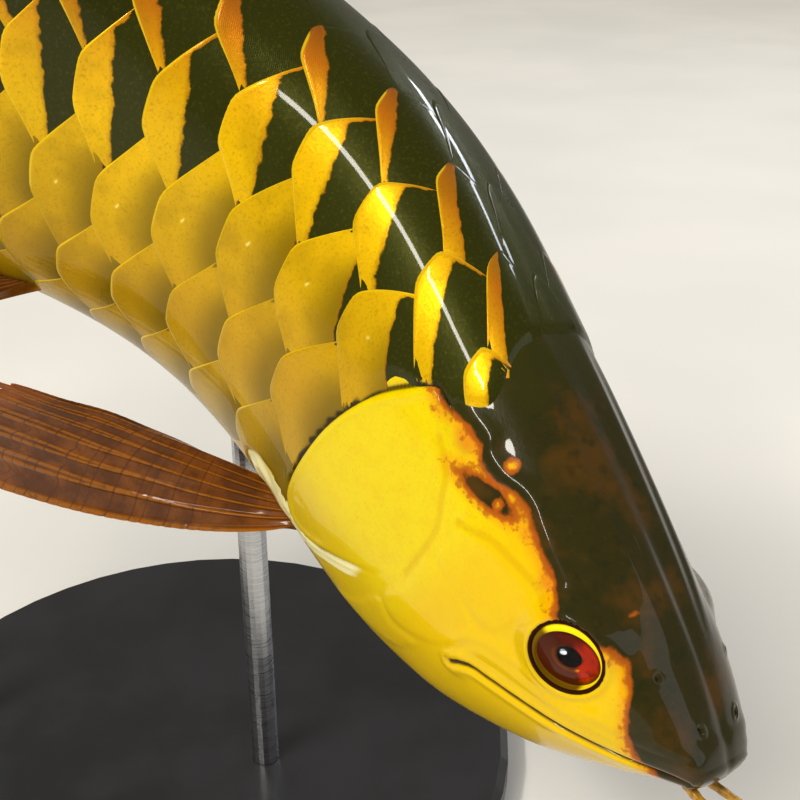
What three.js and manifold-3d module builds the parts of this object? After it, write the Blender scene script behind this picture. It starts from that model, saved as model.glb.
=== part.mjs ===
// Asian arowana, life size, as a still display model on a plain stand.
// Millimetres, +Z up, origin at the middle of the stand's underside.
// The fish is first described straight: s runs back from the snout tip along the
// backbone, y to its left and z to its back. The backbone is then bent and the
// whole fish is turned into its swimming attitude.
import * as THREE from 'three';
import { mergeVertices } from 'three/addons/utils/BufferGeometryUtils.js';
import Module from 'manifold-3d';

const wasm = await Module();
wasm.setup();

// Sizes of the fish
const bodyLength = 560;        // snout tip to the root of the tail fin
const headEnd = 118;           // nape, where the scales begin
const gap = 0.3;               // clearance between neighbouring pieces
const finClearance = 0.45;     // from the bare skin to the fins, over the low scales there

// Attitude in degrees
const heading = -56.5;
const noseDown = 36.1;
const bank = -16.7;

// Stand
const baseRadius = 125;
const baseHeight = 14;
const lowestPoint = 30;        // clear height of the fish above the base
const rodRadius = 5;
const frontRodAt = 168;        // distances s of the rods along the belly
const rearRodAt = 326;

// Body sections: distance s, height of the back, depth of the belly, half width, and
// the fraction of the height at which it is widest.
const sections = [
  [0, 36.7, 25, 10.8, 0.80],
  [11.6, 41.5, 7.7, 17.8, 0.74],
  [29, 46.3, -14.5, 23.4, 0.71],
  [58, 52.1, -38.5, 26.6, 0.64],
  [96, 57.9, -54.5, 28, 0.61],
  [132, 62, -60.5, 30, 0.595],
  [195, 67.2, -63.5, 31.4, 0.585],
  [255, 69, -66, 31.4, 0.58],
  [315, 68, -67, 30, 0.57],
  [375, 63, -61, 27, 0.56],
  [430, 52.5, -50, 22.5, 0.55],
  [480, 40, -38.5, 16.5, 0.54],
  [520, 29.5, -29.5, 11, 0.52],
  [560, 26, -26, 6, 0.5],
  [600, 26, -26, 6, 0.5],
];
const upperRoundness = 2.5;    // superellipse powers above and below the widest point
const lowerRoundness = 1.85;

// Backbone curvature in radians per metre: to the fish's left, upward, and twist,
// as the trunk follows the head.
const bends = [
  [0, 0, 0, 0],
  [112, 0, 0, 0],
  [125, 1.2, 1.0, -1.2],
  [165, 6.0, 1.3, -1.6],
  [235, 7.4, 1.3, -1.0],
  [285, 6.6, 0.8, 1.0],
  [345, 2.0, -0.6, 1.2],
  [410, -3.0, -1.0, 0],
  [560, -3.6, -0.8, 0],
  [700, -3.6, 0, 0],
];

// Scales
const scaleRows = 12;          // rows round the whole body, with one along the back
const firstPitch = 27.8;         // exposed length of a scale behind the head
const lastPitch = 15;          // and at the tail
const scaleColumns = 20;
const firstColumn = 127;       // distance s of column 0 on the lateral line
const columnSlant = 8;         // how far each row starts behind the row below it
const scaleHeight = 0.8;       // height of a scale's free edge

// Head
const headStep = 8.4;
const headSides = 12;          // facets from belly to back
const operculumRise = 1.0;
const operculumThickness = 3;
const plateRise = 0.6;
const eyeCentre = { s: 39.3, y: 18.7, z: 29.7 };
const eyeRadius = 9.2;
const eyeFacing = [0.36, 1, 0.02];   // forward, outward, up
const eyeOutward = 6.8;        // the orbit's rim lies this far out from the eyeball's centre
const orbitRise = 1.1;

const radians = THREE.MathUtils.degToRad;

// Monotone cubic through the columns of a table
function tableCurve(table, column) {
  const x = table.map((row) => row[0]);
  const y = table.map((row) => row[column]);
  const slopes = x.slice(1).map((v, i) => (y[i + 1] - y[i]) / (v - x[i]));
  const tangents = x.map((v, i) => {
    if (i === 0) return slopes[0];
    if (i === x.length - 1) return slopes[i - 1];
    const product = slopes[i - 1] * slopes[i];
    return product <= 0 ? 0 : (2 * product) / (slopes[i - 1] + slopes[i]);
  });
  return (at) => {
    let i = 0;
    while (i < x.length - 2 && at > x[i + 1]) i += 1;
    const h = x[i + 1] - x[i];
    const t = THREE.MathUtils.clamp((at - x[i]) / h, 0, 1);
    const a = y[i] * (1 + 2 * t) + h * t * tangents[i];
    const b = y[i + 1] * (3 - 2 * t) - h * (1 - t) * tangents[i + 1];
    return a * (1 - t) * (1 - t) + b * t * t;
  };
}

const backHeight = tableCurve(sections, 1);
const bellyDepth = tableCurve(sections, 2);
const halfWidth = tableCurve(sections, 3);
const widestAt = tableCurve(sections, 4);

// Half section at s as points from belly to back, with their share of the half girth
function halfSection(s) {
  const top = backHeight(s);
  const bottom = bellyDepth(s);
  const width = halfWidth(s);
  const middle = bottom + (top - bottom) * widestAt(s);
  const points = [];
  const steps = 48;
  for (let i = 0; i <= steps; i += 1) {
    const angle = (Math.PI / 2) * (i / steps);
    const y = width * Math.sin(angle) ** (2 / lowerRoundness);
    const z = middle - (middle - bottom) * Math.cos(angle) ** (2 / lowerRoundness);
    points.push(new THREE.Vector2(y, z));
  }
  for (let i = 1; i <= steps; i += 1) {
    const angle = (Math.PI / 2) * (i / steps);
    const y = width * Math.cos(angle) ** (2 / upperRoundness);
    const z = middle + (top - middle) * Math.sin(angle) ** (2 / upperRoundness);
    points.push(new THREE.Vector2(y, z));
  }
  const lengths = [0];
  points.slice(1).forEach((p, i) => lengths.push(lengths[i] + p.distanceTo(points[i])));
  return { points, lengths };
}

const sectionCache = new Map();
function cachedSection(s) {
  const key = Math.round(s * 2);
  if (!sectionCache.has(key)) sectionCache.set(key, halfSection(key / 2));
  return sectionCache.get(key);
}

// Point of a half section at the fraction u of its girth, 0 belly to 1 back
function alongSection({ points, lengths }, u) {
  const target = THREE.MathUtils.clamp(u, 0, 1) * lengths[lengths.length - 1];
  let i = 1;
  while (i < lengths.length - 1 && lengths[i] < target) i += 1;
  const t = (target - lengths[i - 1]) / (lengths[i] - lengths[i - 1] || 1);
  return points[i - 1].clone().lerp(points[i], t);
}

// Backbone places and directions every 2 mm
const spineStep = 2;
const spine = (() => {
  const yawRate = tableCurve(bends, 1);
  const pitchRate = tableCurve(bends, 2);
  const twistRate = tableCurve(bends, 3);
  const frames = [];
  const place = new THREE.Vector3();
  let yaw = 0;
  let pitch = 0;
  let twist = 0;
  for (let s = 0; s <= 700; s += spineStep) {
    const forward = new THREE.Vector3(
      Math.cos(yaw) * Math.cos(pitch), Math.sin(yaw) * Math.cos(pitch), Math.sin(pitch));
    const level = new THREE.Vector3(-Math.sin(yaw), Math.cos(yaw), 0);
    const upright = new THREE.Vector3().crossVectors(forward, level);
    const left = level.clone().multiplyScalar(Math.cos(twist)).addScaledVector(upright, Math.sin(twist));
    const up = new THREE.Vector3().crossVectors(forward, left);
    frames.push({ place: place.clone(), forward, left, up });
    place.addScaledVector(forward, -spineStep);
    yaw += yawRate(s) * spineStep / 1000;
    pitch += pitchRate(s) * spineStep / 1000;
    twist += twistRate(s) * spineStep / 1000;
  }
  return frames;
})();

// From the straight fish (s, y, z) to the bent one
function bent(s, y, z) {
  const at = THREE.MathUtils.clamp(s / spineStep, 0, spine.length - 2);
  const i = Math.floor(at);
  const t = at - i;
  const a = spine[i];
  const b = spine[i + 1];
  const place = a.place.clone().lerp(b.place, t);
  if (s < 0) place.addScaledVector(a.forward, -s);
  const left = a.left.clone().lerp(b.left, t);
  const up = a.up.clone().lerp(b.up, t);
  return place.addScaledVector(left, y).addScaledVector(up, z);
}

// Skin point at s and u on one side (1 left, -1 right), raised by lift from the skin
function skinPoint(s, u, side, lift = 0) {
  const section = cachedSection(s);
  const p = alongSection(section, u);
  const step = 0.01;
  const before = alongSection(section, Math.max(0, u - step));
  const after = alongSection(section, Math.min(1, u + step));
  const along = after.sub(before).normalize();
  if (u <= 0 || u >= 1) along.set(u <= 0 ? 1 : -1, 0);
  return bent(s, side * (p.x + along.y * lift), p.y - along.x * lift);
}

// Closed solids from rings of points, joined end to end and capped by a fan
function ringSolid(rings) {
  const count = rings[0].length;
  const positions = rings.flat().flatMap((p) => [p.x, p.y, p.z]);
  const index = [];
  for (let r = 0; r < rings.length - 1; r += 1) {
    for (let i = 0; i < count; i += 1) {
      const j = (i + 1) % count;
      const a = r * count;
      const b = a + count;
      index.push(a + i, b + i, a + j, a + j, b + i, b + j);
    }
  }
  [0, rings.length - 1].forEach((r) => {
    const centre = new THREE.Vector3();
    rings[r].forEach((p) => centre.addScaledVector(p, 1 / count));
    positions.push(centre.x, centre.y, centre.z);
    const hub = positions.length / 3 - 1;
    for (let i = 0; i < count; i += 1) {
      const j = (i + 1) % count;
      const pair = r === 0 ? [i, j] : [r * count + j, r * count + i];
      index.push(hub, ...pair);
    }
  });
  return facingOut(positions, index);
}

function facingOut(positions, index) {
  const at = (i) => new THREE.Vector3().fromArray(positions, 3 * i);
  let volume = 0;
  for (let i = 0; i < index.length; i += 3) {
    volume += at(index[i]).dot(at(index[i + 1]).cross(at(index[i + 2])));
  }
  const order = volume < 0 ? [0, 2, 1] : [0, 1, 2];
  const turned = index.map((v, i) => index[i - (i % 3) + order[i % 3]]);
  return toSolid(positions, turned);
}

function toSolid(positions, index) {
  const vertProperties = new Float32Array(positions);
  const triVerts = new Uint32Array(index);
  const mesh = new wasm.Mesh({ numProp: 3, vertProperties, triVerts });
  mesh.merge();
  return new wasm.Manifold(mesh);
}

function geometrySolid(geometry) {
  const bare = geometry.clone();
  ['normal', 'uv'].forEach((name) => bare.deleteAttribute(name));
  const merged = mergeVertices(bare, 1e-4);
  return toSolid(Array.from(merged.attributes.position.array), Array.from(merged.index.array));
}

function largest(solid) {
  return solid.decompose().reduce((a, b) => (a.volume() > b.volume() ? a : b));
}

// Smooth skin between two distances, raised by lift
function skinSolid(from, to, step, lift = 0, sides = 14) {
  const rings = [];
  const count = Math.round((to - from) / step);
  for (let k = 0; k <= count; k += 1) {
    const s = from + (to - from) * (k / count);
    const ring = [];
    for (let i = 0; i <= sides; i += 1) ring.push(skinPoint(s, i / sides, -1, lift));
    for (let i = sides - 1; i > 0; i -= 1) ring.push(skinPoint(s, i / sides, 1, lift));
    rings.push(ring);
  }
  return { rings, solid: ringSolid(rings) };
}

// Prism across the head on one side, from an outline in (s, z) that may be grown
function headPrism(outline, side, inner, outer, grow = 0) {
  const points = outline.map(([s, z]) => new THREE.Vector2(s, z));
  if (THREE.ShapeUtils.area(points) < 0) points.reverse();
  const grown = points.map((p, i) => {
    const before = p.clone().sub(points[(i + points.length - 1) % points.length]).normalize();
    const after = points[(i + 1) % points.length].clone().sub(p).normalize();
    const normal = new THREE.Vector2(before.y + after.y, -before.x - after.x).normalize();
    const reach = grow / Math.max(0.5, normal.dot(new THREE.Vector2(before.y, -before.x)));
    return p.clone().addScaledVector(normal, reach);
  });
  const count = grown.length;
  const at = (y) => grown.map((p) => bent(p.x, side * y, p.y));
  const positions = [...at(inner), ...at(outer)].flatMap((p) => [p.x, p.y, p.z]);
  const index = [];
  THREE.ShapeUtils.triangulateShape(grown, []).forEach((face) => {
    const turned = THREE.ShapeUtils.area(face.map((v) => grown[v])) > 0;
    const [a, b, c] = turned ? face : [face[0], face[2], face[1]];
    index.push(a, c, b, a + count, b + count, c + count);
  });
  grown.forEach((p, i) => {
    const j = (i + 1) % count;
    index.push(i, j, j + count, i, j + count, i + count);
  });
  return facingOut(positions, index);
}

// Thin cut across the body at s
function crossCut(s, thickness = gap, reach = 48, height = 95) {
  const ring = (at) => [[-reach, -height], [reach, -height], [reach, height], [-reach, height]]
    .map(([y, z]) => bent(at, y, z));
  return ringSolid([ring(s), ring(s + thickness)]);
}

// Scale lattice: row 0 runs along the belly, row 6 along the back. The upper rows
// rise towards the head, as the lateral line does.
const rowRise = tableCurve([
  [100, 0.18], [135, 0.155], [165, 0.078], [195, 0.02], [220, -0.045], [250, -0.095], [300, -0.07],
  [360, -0.05], [450, 0], [600, 0],
], 1);
const rowSwell = tableCurve([[100, -0.01], [200, 0.055], [300, 0.015], [560, 0.005]], 1);

function rowGirth(row, s) {
  const half = scaleRows / 2;
  const phase = (Math.PI * row) / half;
  return row / half + rowRise(s) * Math.sin(phase) - rowSwell(s) * Math.sin(2 * phase);
}

function columnAt(column, row) {
  const pitchDrop = (firstPitch - lastPitch) / scaleColumns;
  const s = firstColumn + firstPitch * column - 0.5 * pitchDrop * column * column;
  const slant = columnSlant * THREE.MathUtils.clamp(1.2 - s / bodyLength, 0, 1);
  return s + slant * (row - scaleRows / 4);
}

// Height of the scale edges, low at the fin roots and under the throat
function edgeHeight(row, s) {
  const belly = THREE.MathUtils.smoothstep(row, 0.7, 1.7);
  const back = s > 400 ? 1 - THREE.MathUtils.smoothstep(row, 5.1, 5.7) : 1;
  const tail = 1 - 0.5 * THREE.MathUtils.smoothstep(s, 420, 560);
  return scaleHeight * (0.12 + 0.88 * belly * back) * tail;
}

function latticePoint(column, turn, lift) {
  const half = scaleRows / 2;
  const wrapped = THREE.MathUtils.euclideanModulo(turn, scaleRows);
  const side = wrapped <= half ? -1 : 1;
  const row = wrapped <= half ? wrapped : scaleRows - wrapped;
  const s = columnAt(column, row);
  return skinPoint(s, rowGirth(row, s), side, lift * edgeHeight(row, s));
}

// One closed skin of overlapping scales; each free edge stands proud of the next scale
function scaledSolid() {
  const positions = [];
  const index = [];
  const known = new Map();
  const vertex = (column, turn, raised) => {
    const key = `${column.toFixed(3)}:${THREE.MathUtils.euclideanModulo(turn, scaleRows).toFixed(3)}:${raised}`;
    if (!known.has(key)) {
      const p = latticePoint(column, turn, raised);
      positions.push(p.x, p.y, p.z);
      known.set(key, positions.length / 3 - 1);
    }
    return known.get(key);
  };
  const bulge = 0.13;
  // Free edge of a scale from its upper to its lower corner: place and raised height
  const edge = (column, row) => [
    [column - 0.5, row + 0.75, 0],
    [column, row + 0.25, 1],
    [column + bulge, row, 1],
    [column, row - 0.25, 1],
    [column - 0.5, row - 0.75, 0],
  ];
  const fan = (hub, loop) => loop.forEach((v, i) => index.push(hub, v, loop[(i + 1) % loop.length]));
  const lastColumn = scaleColumns + 2;
  for (let row = 0; row < scaleRows; row += 1) {
    const shift = row % 2 ? 0.5 : 0;
    for (let column = shift - 1; column < lastColumn; column += 1) {
      const own = edge(column, row);
      const front = edge(column - 1, row);
      // Hexagonal field: own raised edge, then the low feet of the scale in front
      const feet = [front[3], front[2], front[1]];
      const loop = [...own.map((corner) => vertex(...corner)), ...feet.map(([c, r]) => vertex(c, r, 0))];
      fan(vertex(column - 0.42, row, 0.45), loop);
      // Riser under the free edge
      for (let i = 0; i < own.length - 1; i += 1) {
        const [a, b] = [own[i], own[i + 1]];
        const aLow = vertex(a[0], a[1], 0);
        const bLow = vertex(b[0], b[1], 0);
        if (a[2] > 0) index.push(vertex(...a), aLow, vertex(...b));
        if (b[2] > 0) index.push(vertex(...b), aLow, bLow);
      }
    }
  }
  closeEnds(positions, index);
  return facingOut(positions, index);
}

// Caps each open border of a mesh with a fan about its middle
function closeEnds(positions, index) {
  const next = new Map();
  const seen = new Set();
  for (let i = 0; i < index.length; i += 3) {
    for (let k = 0; k < 3; k += 1) seen.add(`${index[i + k]}:${index[i + ((k + 1) % 3)]}`);
  }
  seen.forEach((key) => {
    const [a, b] = key.split(':').map(Number);
    if (!seen.has(`${b}:${a}`)) next.set(b, a);
  });
  while (next.size) {
    const start = next.keys().next().value;
    const loop = [];
    let at = start;
    while (next.has(at)) {
      loop.push(at);
      const to = next.get(at);
      next.delete(at);
      at = to;
    }
    const centre = new THREE.Vector3();
    loop.forEach((v) => centre.addScaledVector(new THREE.Vector3().fromArray(positions, 3 * v), 1 / loop.length));
    positions.push(centre.x, centre.y, centre.z);
    const hub = positions.length / 3 - 1;
    loop.forEach((v, i) => index.push(v, loop[(i + 1) % loop.length], hub));
  }
}

// Outlines on the side of the head, in (s, z)
const operculumOutline = [
  [104, 36.5], [109.5, 36.8], [114.5, 29], [119, 19.7], [122, 9.5], [124, -3], [124.5, -17],
  [124.2, -31], [123, -42], [118.5, -50], [110, -47.5], [101, -38.5], [93, -29], [86.5, -19],
  [81.5, -9], [79, 3], [80, 13.5], [85, 20.5], [92, 27.5], [98.5, 33],
];
const jawOutline = [
  [-20, 33.2], [-6, 33.2], [4, 28.5], [16, 19.5], [30, 10], [44, 1.5], [50, -2.5], [55, -10],
  [59, -20], [61, -32], [61, -80], [-20, -80],
];
const upperLipOutline = [
  [1, 31.2], [16, 20.3], [30, 10.8], [44, 2.3], [49.5, -1.2], [53, 2.5], [51.5, 8], [44, 11.5],
  [32, 17], [20, 23.5], [8, 31.5], [2, 34.5],
];
const cheekOutlines = [
  [[51, 20], [52, 33], [60, 37], [72, 36.5], [80, 32], [76.5, 22], [74.5, 10], [62, 10.5], [53, 13]],
  [[56, 8.5], [74.8, 7.5], [75.5, -6], [78.5, -19], [72, -21], [63, -14], [57, -4]],
  [[63, -18], [72, -24], [79.5, -22], [85, -36], [93, -46], [80, -41], [68, -31]],
];

// Raised plates on both sides of the head
function raisedPlate(outline, rise, side) {
  const cover = skinSolid(0, headEnd, headStep, rise, headSides).solid;
  return cover.intersect(headPrism(outline, side, 2, 60));
}

function orbitRim(side) {
  const ring = new THREE.TorusGeometry(eyeRadius + 0.9, orbitRise, 5, 16);
  const towards = eyeDirection(side);
  ring.lookAt(towards);
  const centre = bent(eyeCentre.s, side * eyeCentre.y, eyeCentre.z);
  centre.addScaledVector(towards, eyeOutward);
  ring.translate(centre.x, centre.y, centre.z);
  return geometrySolid(ring);
}

function eyeDirection(side) {
  const [forward, outward, up] = eyeFacing;
  return new THREE.Vector3(forward, side * outward, up).normalize();
}

function eyeball(side, grow = 0) {
  const ball = new THREE.SphereGeometry(eyeRadius + grow, 14, 9);
  ball.rotateX(Math.PI / 2);
  ball.lookAt(eyeDirection(side));
  const centre = bent(eyeCentre.s, side * eyeCentre.y, eyeCentre.z);
  ball.translate(centre.x, centre.y, centre.z);
  return geometrySolid(ball);
}

// Tapered tube along a curve, with round sections
function taperedTube(curve, radiusAt, steps, sides = 8) {
  const frames = curve.computeFrenetFrames(steps, false);
  const rings = [];
  for (let i = 0; i <= steps; i += 1) {
    const centre = curve.getPointAt(i / steps);
    const radius = radiusAt(i / steps);
    const ring = [];
    for (let k = 0; k < sides; k += 1) {
      const angle = (2 * Math.PI * k) / sides;
      ring.push(centre.clone()
        .addScaledVector(frames.normals[i], radius * Math.cos(angle))
        .addScaledVector(frames.binormals[i], radius * Math.sin(angle)));
    }
    rings.push(ring);
  }
  return ringSolid(rings);
}

// Fin membrane with its rays raised in both faces. place(a, b) gives a point for a
// along the root and b outward, 0 to 1.
function finSolid({ rays, steps, place, root, tip, web }) {
  const columns = 2 * (rays - 1) + 1;
  const faces = [[], []];
  for (let j = 0; j <= steps; j += 1) {
    const b = j / steps;
    for (let i = 0; i < columns; i += 1) {
      const a = i / (columns - 1);
      const onRay = i % 2 === 0;
      const reach = onRay ? b : b * web.reach;
      const p = place(a, reach);
      const d = 0.004;
      const alongRoot = place(Math.min(1, a + d), reach).sub(place(Math.max(0, a - d), reach));
      const outward = place(a, reach + d).sub(place(a, Math.max(0, reach - d)));
      const normal = new THREE.Vector3().crossVectors(alongRoot, outward).normalize();
      const ray = THREE.MathUtils.lerp(root, tip, b) * (i === 0 ? 1.35 : 1);
      const half = 0.5 * (onRay ? ray : THREE.MathUtils.lerp(web.root, web.tip, b));
      faces[0].push(p.clone().addScaledVector(normal, half));
      faces[1].push(p.clone().addScaledVector(normal, -half));
    }
  }
  const size = faces[0].length;
  const positions = faces.flat().flatMap((p) => [p.x, p.y, p.z]);
  const index = [];
  const quad = (a, b, c, d) => index.push(a, b, c, a, c, d);
  for (let j = 0; j < steps; j += 1) {
    for (let i = 0; i < columns - 1; i += 1) {
      const a = j * columns + i;
      const [b, c, d] = [a + 1, a + columns + 1, a + columns];
      quad(a, b, c, d);
      index.push(a + size, c + size, b + size, a + size, d + size, c + size);
    }
  }
  for (let i = 0; i < columns - 1; i += 1) {
    const last = steps * columns + i;
    quad(i, i + size, i + 1 + size, i + 1);
    quad(last, last + 1, last + 1 + size, last + size);
  }
  for (let j = 0; j < steps; j += 1) {
    const a = j * columns;
    const z = a + columns - 1;
    quad(a, a + columns, a + columns + size, a + size);
    quad(z, z + size, z + columns + size, z + columns);
  }
  return facingOut(positions, index);
}

// Unpaired fins: the root follows the back or belly, the rays lean backward
const medianFins = {
  dorsal_fin: {
    from: 424, to: 524, u: 1, rays: 13, steps: 5, root: 3.4, tip: 0.8, web: { root: 1.6, tip: 0.6, reach: 0.97 },
    lean: [34, 68], lengths: [40, 58, 42], sway: 5,
  },
  anal_fin: {
    from: 342, to: 516, u: 0, rays: 17, steps: 6, root: 3.4, tip: 0.8, web: { root: 1.6, tip: 0.6, reach: 0.97 },
    lean: [48, 70], lengths: [34, 52, 40], sway: 7,
  },
};

function medianFin({ from, to, u, rays, steps, root, tip, web, lean, lengths, sway }) {
  const sunk = 5;
  const direction = u ? 1 : -1;
  const place = (a, b) => {
    const s = THREE.MathUtils.lerp(from, to, a);
    const edge = u ? backHeight(s) : bellyDepth(s);
    const angle = radians(THREE.MathUtils.lerp(lean[0], lean[1], a) + 14 * b * b);
    const rounding = Math.sin(Math.PI * Math.min(1, 0.12 + 0.95 * a)) ** 0.6;
    const end = THREE.MathUtils.lerp(lengths[0], lengths[2], a);
    const length = THREE.MathUtils.lerp(end * 0.8, lengths[1], rounding) + sunk;
    const out = b * length - sunk;
    const wave = sway * b * b * Math.sin(5 * a + 1.0);
    return bent(s + out * Math.sin(angle), wave, edge + direction * out * Math.cos(angle));
  };
  return finSolid({ rays, steps, place, root, tip, web });
}

function tailFin() {
  const rays = 15;
  const sunk = 4;
  const place = (a, b) => {
    const spread = 2 * a - 1;
    const angle = radians(50 * spread);
    const length = 84 - 20 * Math.abs(spread) ** 2.2 + sunk;
    const out = b * length - sunk;
    const fan = 1 - 0.25 * b;
    const s = bodyLength + out * Math.cos(angle * fan);
    const wave = 5 * b * b * Math.sin(2.2 * a + 0.4);
    return bent(s, wave, -22 * spread - out * Math.sin(angle * fan));
  };
  return finSolid({
    rays, steps: 7, place, root: 4.4, tip: 0.8, web: { root: 2.6, tip: 0.6, reach: 0.965 },
  });
}

// Paired fins: a fan of rays about a short root low on the side. Directions and curls are
// in (back, outward, down) shares for the first and the last ray.
const pairedFins = {
  pectoral_fin: {
    rootFrom: [119, 0.06], rootTo: [139, 0.045], sunk: 6, rays: 7, steps: 8, lengths: [142, 75],
    first: [0.45, 0.45, 0.76], last: [0.78, 0.6, 0.1], curls: [[0.22, 0, -0.13], [0, 0.18, 0.14]],
    root: 5.2, tip: 1.0, web: { root: 3.0, tip: 0.6, reach: 0.94 },
  },
  pelvic_fin: {
    rootFrom: [262, 0.09], rootTo: [274, 0.045], sunk: 5, rays: 6, steps: 7, lengths: [86, 40],
    first: [0.72, 0.42, 0.55], last: [0.93, 0.2, 0.3], curls: [[0.12, -0.06, 0], [0.12, -0.06, 0]],
    root: 4.0, tip: 0.9, web: { root: 2.4, tip: 0.6, reach: 0.94 },
  },
};

function pairedFin(fin, side) {
  const place = (a, b) => {
    const s = THREE.MathUtils.lerp(fin.rootFrom[0], fin.rootTo[0], a);
    const u = THREE.MathUtils.lerp(fin.rootFrom[1], fin.rootTo[1], a);
    const start = alongSection(cachedSection(s), u);
    const direction = new THREE.Vector3(...fin.first)
      .lerp(new THREE.Vector3(...fin.last), a ** 0.8).normalize();
    const length = THREE.MathUtils.lerp(fin.lengths[0], fin.lengths[1], a ** 0.7);
    const out = b * (length + fin.sunk) - fin.sunk;
    const curl = new THREE.Vector3(...fin.curls[0]).lerp(new THREE.Vector3(...fin.curls[1]), a);
    const reach = direction.multiplyScalar(out).addScaledVector(curl, length * b * b);
    const at = spineTangent(s);
    return bent(s, side * start.x, start.y)
      .addScaledVector(at.forward, -reach.x)
      .addScaledVector(at.left, side * reach.y)
      .addScaledVector(at.up, -reach.z);
  };
  return finSolid({ ...fin, place });
}

function spineTangent(s) {
  return spine[Math.round(s / spineStep)];
}

// Barbels on the tip of the lower jaw
function barbelCurve(side) {
  const points = [[2, 3.4, 25], [-3, 4.2, 26.5], [-11, 6, 30], [-20, 9, 32], [-27, 13, 30]];
  return new THREE.CatmullRomCurve3(points.map(([s, y, z]) => bent(s, side * y, z)));
}
const barbelRadius = 1.5;
const barbel = (side, grow = 0) => taperedTube(
  barbelCurve(side), (t) => grow + barbelRadius * (1 - 0.72 * t), 8, 6);

// Assembly of the head
const sides = { left: 1, right: -1 };
const headShape = (() => {
  const { rings } = skinSolid(0, headEnd, headStep, 0, headSides);
  const tip = rings[0].map((p) => p.clone());
  const middle = new THREE.Vector3();
  tip.forEach((p) => middle.addScaledVector(p, 1 / tip.length));
  const blunt = tip.map((p) => p.clone().lerp(middle, 0.35).add(new THREE.Vector3(1.8, 0, 0)));
  return ringSolid([blunt, ...rings]);
})();

const besideHead = (lift) => skinSolid(60, 150, 7.5, lift, headSides).solid;
const throatSkin = besideHead(operculumRise - operculumThickness);
const coverSkin = besideHead(operculumRise);
const pocketFloor = besideHead(operculumRise - operculumThickness - gap);

function operculum(side) {
  return largest(coverSkin.intersect(headPrism(operculumOutline, side, 0.5, 60)).subtract(throatSkin));
}
function operculumPocket(side) {
  return headPrism(operculumOutline, side, 0, 60, gap).subtract(pocketFloor);
}

function headWithJaw() {
  let whole = headShape;
  Object.values(sides).forEach((side) => {
    whole = whole.add(raisedPlate(upperLipOutline, plateRise, side));
    cheekOutlines.forEach((outline) => {
      whole = whole.add(raisedPlate(outline, plateRise, side));
    });
    whole = whole.add(orbitRim(side)).subtract(eyeball(side, gap));
    whole = whole.subtract(operculumPocket(side)).subtract(nostril(side));
  });
  const jawBlock = headPrism(jawOutline, 1, -60, 60);
  const jawSpace = headPrism(jawOutline, 1, -60, 60, gap);
  let jaw = largest(whole.intersect(jawBlock));
  Object.values(sides).forEach((side) => {
    jaw = jaw.subtract(barbel(side, gap));
  });
  return { head: largest(whole.subtract(jawSpace)), jaw: largest(jaw) };
}

function nostril(side) {
  const pit = new THREE.SphereGeometry(1.5, 7, 5);
  const p = skinPoint(15, 0.86, side);
  pit.translate(p.x, p.y, p.z);
  return geometrySolid(pit);
}

// Assembly of the trunk and tail stalk, cut where the lengths meet
const trunkCuts = [headEnd, 225, 335, 445, bodyLength];
function trunkLengths() {
  let whole = scaledSolid();
  Object.values(sides).forEach((side) => {
    whole = whole.subtract(operculumPocket(side));
  });
  trunkCuts.forEach((s, i) => {
    whole = whole.subtract(crossCut(i === 0 ? s : s - gap / 2));
  });
  const pieces = whole.decompose();
  return trunkCuts.slice(1).map((end, i) => {
    const middle = bent((trunkCuts[i] + end) / 2, 0, 0);
    const reach = (piece) => {
      const box = piece.boundingBox();
      const centre = new THREE.Vector3().fromArray(box.min).add(new THREE.Vector3().fromArray(box.max));
      return centre.multiplyScalar(0.5).distanceTo(middle);
    };
    return pieces.filter((p) => p.volume() > 5000).reduce((a, b) => (reach(a) < reach(b) ? a : b));
  });
}

const clearSkin = skinSolid(60, bodyLength + 0.3, 7, finClearance, 20).solid;

// Turned into its attitude, and lifted over the stand
const attitude = new THREE.Matrix4().makeRotationFromEuler(
  new THREE.Euler(radians(bank), radians(noseDown), radians(heading), 'ZYX'));

const colours = {
  head: 0xc9a50c, operculum: 0xe6c80c, eye: 0x7a1c08, barbel: 0xb88a2c, jaw: 0xcfae2a,
  trunk: 0xb08a18, fin: 0x9a4a1c, stand: 0x26262a, rod: 0xb8babd,
};
const material = (colour, roughness = 0.35, metalness = 0) => new THREE.MeshStandardMaterial({
  color: colour, roughness, metalness,
});

function meshOf(name, solid, look) {
  const { vertProperties, triVerts } = solid.getMesh();
  const geometry = new THREE.BufferGeometry();
  geometry.setAttribute('position', new THREE.BufferAttribute(vertProperties, 3));
  geometry.setIndex(new THREE.BufferAttribute(triVerts, 1));
  const mesh = new THREE.Mesh(geometry, look);
  mesh.name = name;
  return mesh;
}

const fish = new THREE.Group();
const { head, jaw } = headWithJaw();
fish.add(meshOf('head', head, material(colours.head)));
fish.add(meshOf('lower_jaw', jaw, material(colours.jaw)));
const trunkNames = ['trunk_front', 'trunk_middle', 'trunk_rear', 'tail_stalk'];
trunkLengths().forEach((solid, i) => fish.add(meshOf(trunkNames[i], solid, material(colours.trunk, 0.3, 0.3))));
Object.entries(sides).forEach(([name, side]) => {
  fish.add(meshOf(`operculum_${name}`, operculum(side), material(colours.operculum, 0.25, 0.3)));
  fish.add(meshOf(`eye_${name}`, eyeball(side), material(colours.eye, 0.1)));
  fish.add(meshOf(`barbel_${name}`, barbel(side), material(colours.barbel)));
  Object.entries(pairedFins).forEach(([fin, sizes]) => {
    const solid = largest(pairedFin(sizes, side).subtract(clearSkin));
    fish.add(meshOf(`${fin}_${name}`, solid, material(colours.fin, 0.45)));
  });
});
Object.entries(medianFins).forEach(([name, sizes]) => {
  fish.add(meshOf(name, largest(medianFin(sizes).subtract(clearSkin)), material(colours.fin, 0.45)));
});
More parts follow.
